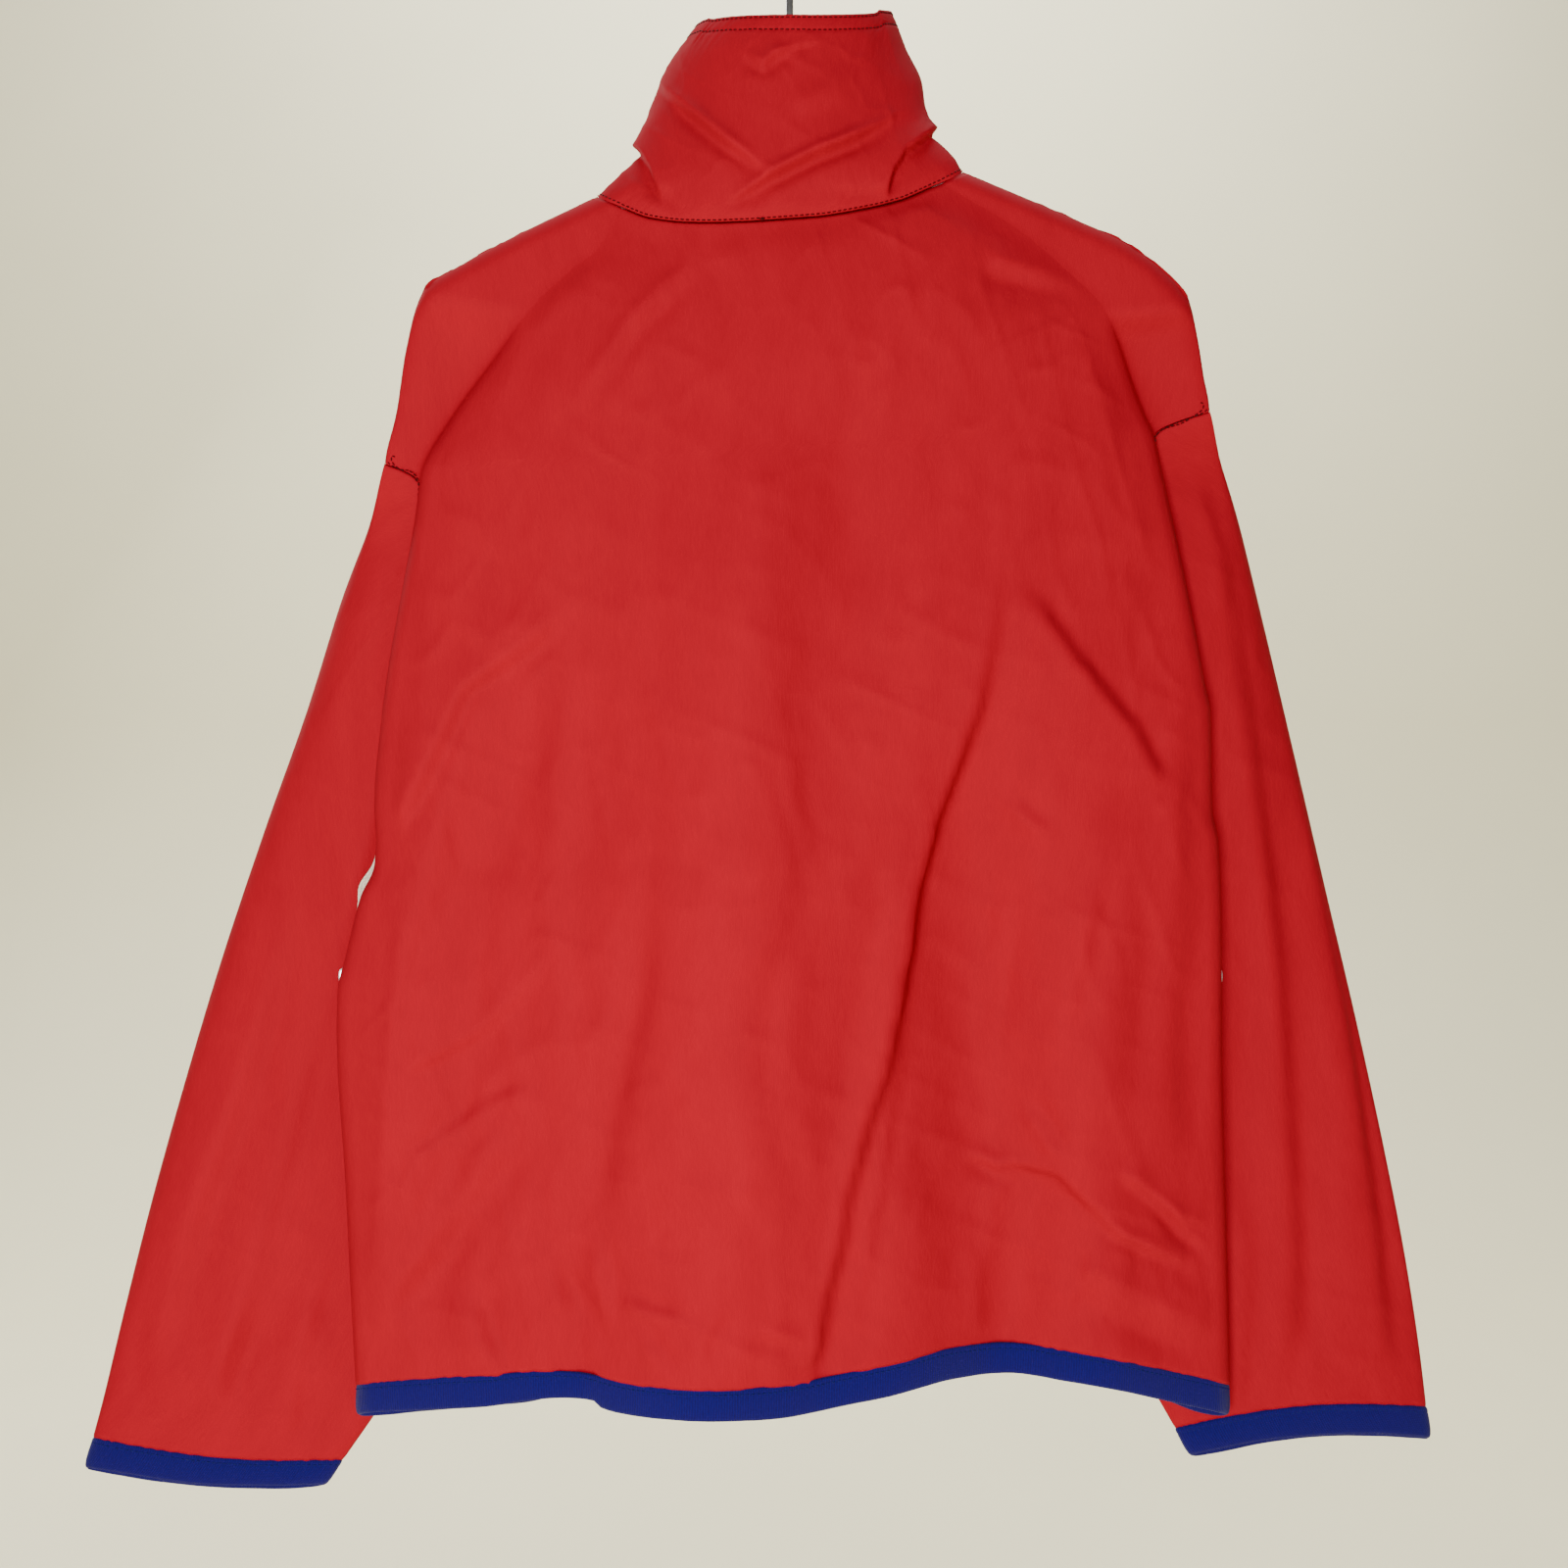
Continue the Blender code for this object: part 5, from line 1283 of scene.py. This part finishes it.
def armhole_lines(grid, way, apart, until=3.0):
    """A line of sewing beside an armhole's seam, on the panel whose grid is given seam first."""
    steps = stages()
    picked = (steps >= 2.0) & (steps <= until)
    normals = grid_normals(grid)
    seam = smooth_line(grid[picked, 0], 3, False)
    tops = unit(normals[picked, 0] * way)
    into = unit(grid[picked, 3] - grid[picked, 0])
    tangent = unit(np.gradient(seam, axis=0))
    inward = np.cross(tops, tangent)
    inward = unit(inward * np.sign((inward * into).sum(-1).mean()))
    wanted = seam + inward * apart
    flat, flat_tops = grid.reshape(-1, 3), (normals * way).reshape(-1, 3)
    line, line_tops = [], []
    for point in wanted:
        k = int(np.argmin(((flat - point) ** 2).sum(-1)))
        line.append(point - flat_tops[k] * np.dot(point - flat[k], flat_tops[k]))
        line_tops.append(flat_tops[k])
    line = smooth_line(np.array(line), 2, False)
    walked = distances(line)
    even = np.linspace(0, walked[-1], int(walked[-1] / LINE_STEP))
    return points_at(even, walked, line), unit(points_at(even, walked, np.array(line_tops)))


# --- building -----------------------------------------------------------------------------------
back = back_grid()
fronts = {side: front_grid(side) for side in SIDES}
plain_back = np.array([back_row(stage) for stage in stages()])
plain_fronts = {side: np.array([front_row(side, stage) for stage in stages()]) for side in SIDES}
at_side = np.where(stages() < 2, 2 * SEAM, SEAM)[:, None]

pieces = {"back": cloth("back_cloth", drawn_in(back, SEAM, SEAM, at_side, at_side), RED)}
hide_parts("back")
for side in SIDES:
    grid = drawn_in(fronts[side], SEAM, SEAM, 0, at_side)
    pieces[f"front_{side}"] = cloth(f"front_{side}_cloth", grid, RED, flip=side == "right")
    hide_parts(f"front_{side}")

sleeves = {side: sleeve_grid(side) for side in SIDES}
for side, grid in sleeves.items():
    grid = drawn_in(grid, 0, SEAM)
    pieces[f"sleeve_{side}"] = cloth(f"sleeve_{side}_cloth", grid, RED, ring=True, flip=side == "right")
    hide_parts(f"sleeve_{side}")

neck = neck_line(plain_back, plain_fronts)
collar = collar_grid(neck)
stand = drawn_in(collar, SEAM, 0, 0, 0)
along = unit(stand[1] - stand[0])
inward = grid_normals(stand)[0]
part = 0.1 + 0.9 * ease(6, 20, np.abs(stand[0, :, 1:2]))
tucked = [stand[0] + (inward * deep - along * far) * part for far, deep in SEAM_ALLOWANCE]
stand = np.concatenate([tucked, stand])
pieces["collar"] = cloth("collar_cloth", stand, RED, thick=0.8, flip=True)
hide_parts("collar")

# bindings
hem = np.concatenate([fronts["left"][-1], back[-1][1:-1], fronts["right"][-1][::-1]])
hem = smooth_line(hem, 12, False)
tangent = unit(np.gradient(hem, axis=0))
fall = np.tile([0.0, 0.0, -1.0], (len(hem), 1))
hem_outward = unit(np.cross(fall, tangent))
past_lap = seen(hem)[0] - from_photo(HEM_LAP)[0]
short = np.where(hem[:, 1] > 0, HEM_LAP_SHORT * ease(-0.8, 0.8, past_lap) * (1 - ease(5, 70, past_lap)), 0.0)
hem_edge = hem + fall * SEAM
hem_piece, hem_grid = binding("hem_binding_knit", hem_edge, hem_outward, fall, False, HEM_SEED, short)
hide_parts("hem_binding")
pieces["hem"] = hem_piece
cuff_grids, cuff_outward = {}, {}
for side, grid in sleeves.items():
    plain = np.array([sleeve_ring(side, a) for a in (0.985, 1.0)])
    edge = smooth_line(grid[-1], 4, True)
    down = unit(plain[1] - plain[0])
    tangent = unit(np.roll(edge, -1, 0) - np.roll(edge, 1, 0))
    outward = unit(np.cross(down, tangent)) * sign(side)
    item, cuff = binding(f"cuff_binding_{side}_knit", edge + down * SEAM * 3, outward, down, True, CUFF_SEED)
    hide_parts(f"cuff_binding_{side}")
    pieces[f"cuff_{side}"] = item
    cuff_grids[side], cuff_outward[side] = cuff, outward

# sewing
red_lines = []
collar_tops = -grid_normals(collar)
for apart in TOP_ROWS:
    red_lines.append(line_at(collar, collar_tops, apart, last=True))
red_lines.append(line_at(collar, collar_tops, COLLAR_FOOT_ROW))
for columns, tops in ((collar, collar_tops), (collar[:, ::-1], collar_tops[:, ::-1])):
    red_lines.append(line_at(columns.transpose(1, 0, 2), tops.transpose(1, 0, 2), ZIP_ROW))
for side, grid in fronts.items():
    tops = grid_normals(grid) * sign(side)
    red_lines.append(line_at(grid.transpose(1, 0, 2), tops.transpose(1, 0, 2), ZIP_ROW))
for side in SIDES:
    seam_first = back if side == "left" else back[:, ::-1]
    front_first = fronts[side][:, ::-1]
    for apart in ARMHOLE_ROWS:
        red_lines.append(armhole_lines(seam_first, sign(side), apart))
        red_lines.append(armhole_lines(front_first, -sign(side), apart))
# the loose knot of thread at the collar's foot
foot, foot_tops = red_lines[2]
knot_at = int(np.argmin(np.abs(seen(foot)[0] - from_photo(KNOT)[0])))
for turn in (0.5, 1.7, 2.8):
    way = np.array([math.cos(turn), 0.0, math.sin(turn)])
    top = foot_tops[knot_at]
    bent = [foot[knot_at] + way * s + top * (0.9 - 0.15 * s * s) for s in np.linspace(-2, 2, 9)]
    red_lines.append((np.array(bent), np.tile(top, (9, 1))))
# The sewing takes the thread red that is darkened with painted shade of its stitch holes.
pieces["sewing"] = sewn("red_sewing", red_lines, RED_THREAD_WITH_PAINTED_SHADE)
blue_lines = [(hem_grid[BINDING_ROW], hem_outward)]
for side in SIDES:
    cuff = np.concatenate([cuff_grids[side][BINDING_ROW], cuff_grids[side][BINDING_ROW][:1]])
    tops = np.concatenate([cuff_outward[side], cuff_outward[side][:1]])
    blue_lines.append((cuff, tops))
pieces["blue_sewing"] = sewn("blue_sewing", blue_lines, THREAD_BLUE)


# --- zips and small hardware --------------------------------------------------------------------
def swept(name, runs, material, around=12, body="jacket"):
    """Round bars along lines of points, each with its own radii; the ends are closed."""
    places, faces = [], []
    for points, radii in runs:
        points = np.array(points, dtype=float)
        radii = np.broadcast_to(np.asarray(radii, dtype=float), (len(points),))
        tangents = unit(np.gradient(points, axis=0))
        side = np.cross(tangents[0], [0.3, 0.2, 0.9] if abs(tangents[0][2]) < 0.8 else [1.0, 0.1, 0.0])
        faces += tube_faces(len(places), len(points), around)
        for point, tangent, radius in zip(points, tangents, radii):
            side = unit(side - tangent * np.dot(side, tangent))
            places.extend(circle(point, side, np.cross(tangent, side), radius, around))
    return add_piece(name, mesh_of(name, places, faces), material, body)


edges = {}
for side, columns in (("left", collar), ("right", collar[:, ::-1])):
    rows = np.concatenate([columns[::-1, : FRONT_COLUMNS + 1], fronts[side][1:]])
    edges[side] = rows
    spans = (-(ZIP_HALF - CHAIN_WIDTH / 2 - SEAM), 1.0, 2.0, TAPE_REACH / 2, TAPE_REACH)
    strip = np.array([[along_row(row, far) for far in spans] for row in rows[::2]])
    strip[:, :, 0] = np.where(np.arange(5) < 1, sign(side) * (CHAIN_WIDTH / 2 - 1.2), strip[:, :, 0])
    strip = strip + [0.0, WALL + 2 * SEAM, 0.0]
    tape = cloth(f"zip_tape_{side}_woven", strip, DARK_RED, 0.6, flip=side == "right")
    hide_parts(f"zip_tape_{side}")
    pieces[f"tape_{side}"] = tape
middle = smooth_line((edges["left"][:, 0] + edges["right"][:, 0]) / 2, 6, False)
walked = distances(middle)
coils = []
for number, where in enumerate(np.arange(2.0, walked[-1] - 2.0, TOOTH_PITCH / 2)):
    at = points_at(where, walked, middle) + [0.0, 0.9, 0.0]
    way = 1.0 if number % 2 else -1.0
    coils.append(([at + [way * x, y, 0.0] for x, y, _ in TOOTH], [radius for _, _, radius in TOOTH]))
teeth = swept("zip_teeth", coils, TEETH, 8)
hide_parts("zip_chain")
pieces["teeth"] = teeth


def in_place(origin, x, y, z, points):
    return [origin + x * a + y * b + z * c for a, b, c in points]


def slider_and_pull(joint, slider_node, pull_node, body, size):
    """A die-cast slider with its bridge, and the pull that hangs in it from the joint's axis."""
    across, long = size
    pin, x, z = np.array(joint["pos_m"]) / MM, unit(np.array(joint["axis"])), np.array([0.0, 0.0, 1.0])
    y = np.cross(z, x)
    origin = pin - y * PULL_AXIS
    half, top = SLIDER["across"] / 2, SLIDER["tall"] / 2
    outline = []
    for step in range(24):
        turn = 2 * math.pi * step / 24
        wide, tall = math.cos(turn), math.sin(turn)
        wide = math.copysign(abs(wide) ** 0.6, wide) * (half - SLIDER_TAPER * max(0.0, -tall))
        outline.append((wide, math.copysign(abs(tall) ** 0.75, tall) * top))
    levels = [(SLIDER["rise"] + rise, share) for rise, share in SLIDER_LEVELS]
    places = [origin + x * a * s + y * rise + z * b * s for rise, s in levels for a, b in outline]
    mesh = mesh_of(slider_node + "_cast", places, tube_faces(0, len(levels), len(outline)))
    cast = add_piece(slider_node + "_cast", mesh, METAL)
    cast.modifiers.new("edges", "EDGE_SPLIT").split_angle = 0.7
    arch = []
    for step in range(17):
        turn = math.pi * step / 16
        rise = (BAIL_HEIGHT + BAIL_SUNK) * math.sin(turn)
        arch.append((0.0, levels[-1][0] - BAIL_SUNK + rise, BAIL_HALF * math.cos(turn)))
    bridge = swept(slider_node + "_bridge", [(in_place(origin, x, y, z, arch), BAIL_WIRE / 2)], METAL)
    for item in (cast, bridge):
        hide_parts(slider_node)
    wide = across / 2 - 0.6
    right = [(wide, 0.0), (wide, -2.0), (wide, 2.2 - long), (wide - 1.2, 0.9 - long), (0.0, 0.6 - long)]
    loop = [(a, 0.0, b) for a, b in right] + [(-a, 0.0, b) for a, b in right[-2::-1]]
    ring = smooth_loop(np.array(loop), 6)
    runs = [(in_place(pin, x, y, z, ring), PULL_WIRE)]
    cross = min(PULL_SLOT, long - PULL_FOOT)
    if long > RIBBED_FROM:
        plate = [(0.0, 0.0, -cross - 0.4), (0.0, 0.0, 1.2 - long)]
        runs.append((in_place(pin, x, y, z, [(-wide, 0.0, -cross), (wide, 0.0, -cross)]), PULL_WIRE))
        for shift in np.linspace(-wide + 0.7, wide - 0.7, 5):
            runs.append((in_place(pin + x * shift, x, y, z, plate), PULL_RIB))
    pull = swept(pull_node + "_cast", runs, METAL, 10, body)
    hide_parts(pull_node)


def smooth_loop(points, rounds):
    """A closed loop with its corners rounded, its last point again its first."""
    line = []
    for k in range(len(points)):
        a, b = points[k], points[(k + 1) % len(points)]
        far = np.linalg.norm(b - a)
        line += [a + (b - a) * t for t in np.linspace(0, 1, max(2, int(far / 0.5)) + 1)[:-1]]
    line = smooth_line(np.array(line), rounds, True)
    return np.concatenate([line, line[:2]])


joints = {joint["name"]: joint for joint in frame["joints"]}
slider_and_pull(joints["zip_pull_swing"], "zip_slider", "zip_pull", "front_pull", FRONT_PULL)
for side in SIDES:
    joint = joints[f"pocket_pull_{side}_swing"]
    names = f"pocket_slider_{side}", f"pocket_pull_{side}", f"{side}_pull"
    slider_and_pull(joint, *names, POCKET_PULL)


def side_row(side, down):
    """The back's row at a drop below the underarm, from that side's seam inwards."""
    edge = LEFT_EDGE if side == "left" else RIGHT_EDGE
    steps = stages()
    stage = 3 + (down - edge[0][0]) / (edge[-1][0] - edge[0][0])
    after = int(np.searchsorted(steps, stage))
    part = (stage - steps[after - 1]) / (steps[after] - steps[after - 1])
    row = back[after - 1] + (back[after] - back[after - 1]) * part
    return row if side == "left" else row[::-1]


for side in SIDES:
    rows = []
    for down in np.linspace(POCKET_FROM, POCKET_TO, 72):
        turn = side_row(side, down)
        line = []
        for distance in np.linspace(1.0, 1.0 + POCKET_STRIP, 9):
            tangent = along_row(turn, distance + 0.5) - along_row(turn, distance - 0.5)
            normal = unit(np.array([tangent[1], -tangent[0], 0.0]) * sign(side))
            gape = STRIP_GAPE[side] * math.exp(-(((down - STRIP_SEEN) / 9) ** 2))
            line.append(along_row(turn, distance) + normal * (STRIP_CLEAR + STRIP_THICK) + [gape, 0, 0])
        rows.append(line)
    strip = cloth(f"pocket_strip_{side}_tape", np.array(rows), CREAM, 0.7, flip=side == "right")
    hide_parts(f"pocket_strip_{side}")
    pieces[f"strip_{side}"] = strip


# --- the hanger ---------------------------------------------------------------------------------
arms = [(x, 0.0, -value(ARMS, x)) for x in np.linspace(ARMS[0][0], ARMS[-1][0], 90)]
arm_radii = np.full(len(arms), ARM_BAR / 2)
arm_radii[:3], arm_radii[-3:] = ARM_TIP, ARM_TIP[::-1]
arm_piece = swept("hanger_arms_bar", [(arms, arm_radii)], BAR, 28)
centre = STEM_WIRE / 2 - HOOK_RADIUS
hook = []
for step in range(60):
    turn = math.radians(200 - 270 * step / 59)
    hook.append((HOOK_RADIUS * math.cos(turn), 0.0, centre + HOOK_RADIUS * math.sin(turn)))
foot = -(value(ARMS, 0.0) - ARM_BAR / 2 - SEAM)
for step in range(1, 9):
    hook.append((0.0, 0.0, centre - HOOK_RADIUS + (foot - centre + HOOK_RADIUS) * step / 8))
hook_radii = np.full(len(hook), STEM_WIRE / 2)
hook_radii[:3] = HOOK_TIP
hook_piece = swept("hanger_hook_wire", [(hook, hook_radii)], STEM, 24)
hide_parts("hanger_arms")
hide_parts("hanger_hook")

# --- the room, the light and the camera ---------------------------------------------------------
FLOOR_DOWN, WALL_BEHIND, COVE = -1.5, -3.4, 1.2
LENS, FRAME_WIDTH = 36.0, 36.0  # of the camera, in its own millimetres
# name, place, aimed at, size, power, colour
LAMPS = (
    ("key", (0.25, 1.35, -0.62), (0.0, 0.0, -0.52), 0.45, 26.5, (1.0, 0.98, 0.95)),
    ("fill", (-1.3, 2.4, -0.8), (0.0, 0.0, -0.5), 2.0, 5.0, (0.97, 0.98, 1.0)),
    ("wall", (0.0, -1.3, 2.6), (0.0, -3.4, -0.5), 2.2, 190.0, (1.0, 1.0, 1.0)),
    ("front", (2.3, -2.0, 1.2), (0.0, 0.0, -0.45), 1.0, 60.0, (1.0, 1.0, 1.0)),
)


def paint(name, colour, roughness):
    look = Look(name, colour, roughness)
    cloudy = look.noise(1.3, 4.0, coordinates="Object")
    fine = look.noise(60.0, 4.0, coordinates="Object")
    tone = look.ramp(cloudy, ((0.3, tinted(colour, 0.97)), (0.7, tinted(colour, 1.02))))
    return look.finish(tone, None, look.bump(fine, 0.05, 0.001))


profile = [(9.0, FLOOR_DOWN), (3.0, FLOOR_DOWN), (0.0, FLOOR_DOWN), (WALL_BEHIND + COVE, FLOOR_DOWN)]
for step in range(1, 17):
    turn = math.pi / 2 * step / 16
    profile.append((WALL_BEHIND + COVE - COVE * math.sin(turn), FLOOR_DOWN + COVE - COVE * math.cos(turn)))
profile.append((WALL_BEHIND, 3.5))
room = bpy.data.meshes.new("floor")
places = [(x, y, z) for y, z in profile for x in (-9.0, 9.0)]
faces = [(2 * k, 2 * k + 1, 2 * k + 3, 2 * k + 2) for k in range(len(profile) - 1)]
room.from_pydata(places, [], faces)
room.shade_smooth()
room.materials.append(paint("pale_paint", (0.9, 0.85, 0.6), 0.85))
floor = bpy.data.objects.new("floor", room)
bpy.context.scene.collection.objects.link(floor)

for name, at, to, size, power, colour in LAMPS:
    light = bpy.data.lights.new(name, "AREA")
    light.size, light.energy, light.color = size, power, colour
    item = bpy.data.objects.new(name, light)
    bpy.context.scene.collection.objects.link(item)
    item.location = at
    item.rotation_euler = (Vector(to) - Vector(at)).to_track_quat("-Z", "Y").to_euler()
world = bpy.data.worlds.new("room")
world.use_nodes = True
world.node_tree.nodes["Background"].inputs["Color"].default_value = (0.93, 0.9, 0.84, 1.0)
world.node_tree.nodes["Background"].inputs["Strength"].default_value = 0.38
bpy.context.scene.world = world

lens = bpy.data.cameras.new("camera")
lens.lens, lens.sensor_width = LENS, FRAME_WIDTH
camera = bpy.data.objects.new("camera", lens)
bpy.context.scene.collection.objects.link(camera)
camera.location = Vector(EYE) * MM
camera.rotation_euler = (math.pi / 2, 0.0, math.pi)
bpy.context.scene.camera = camera
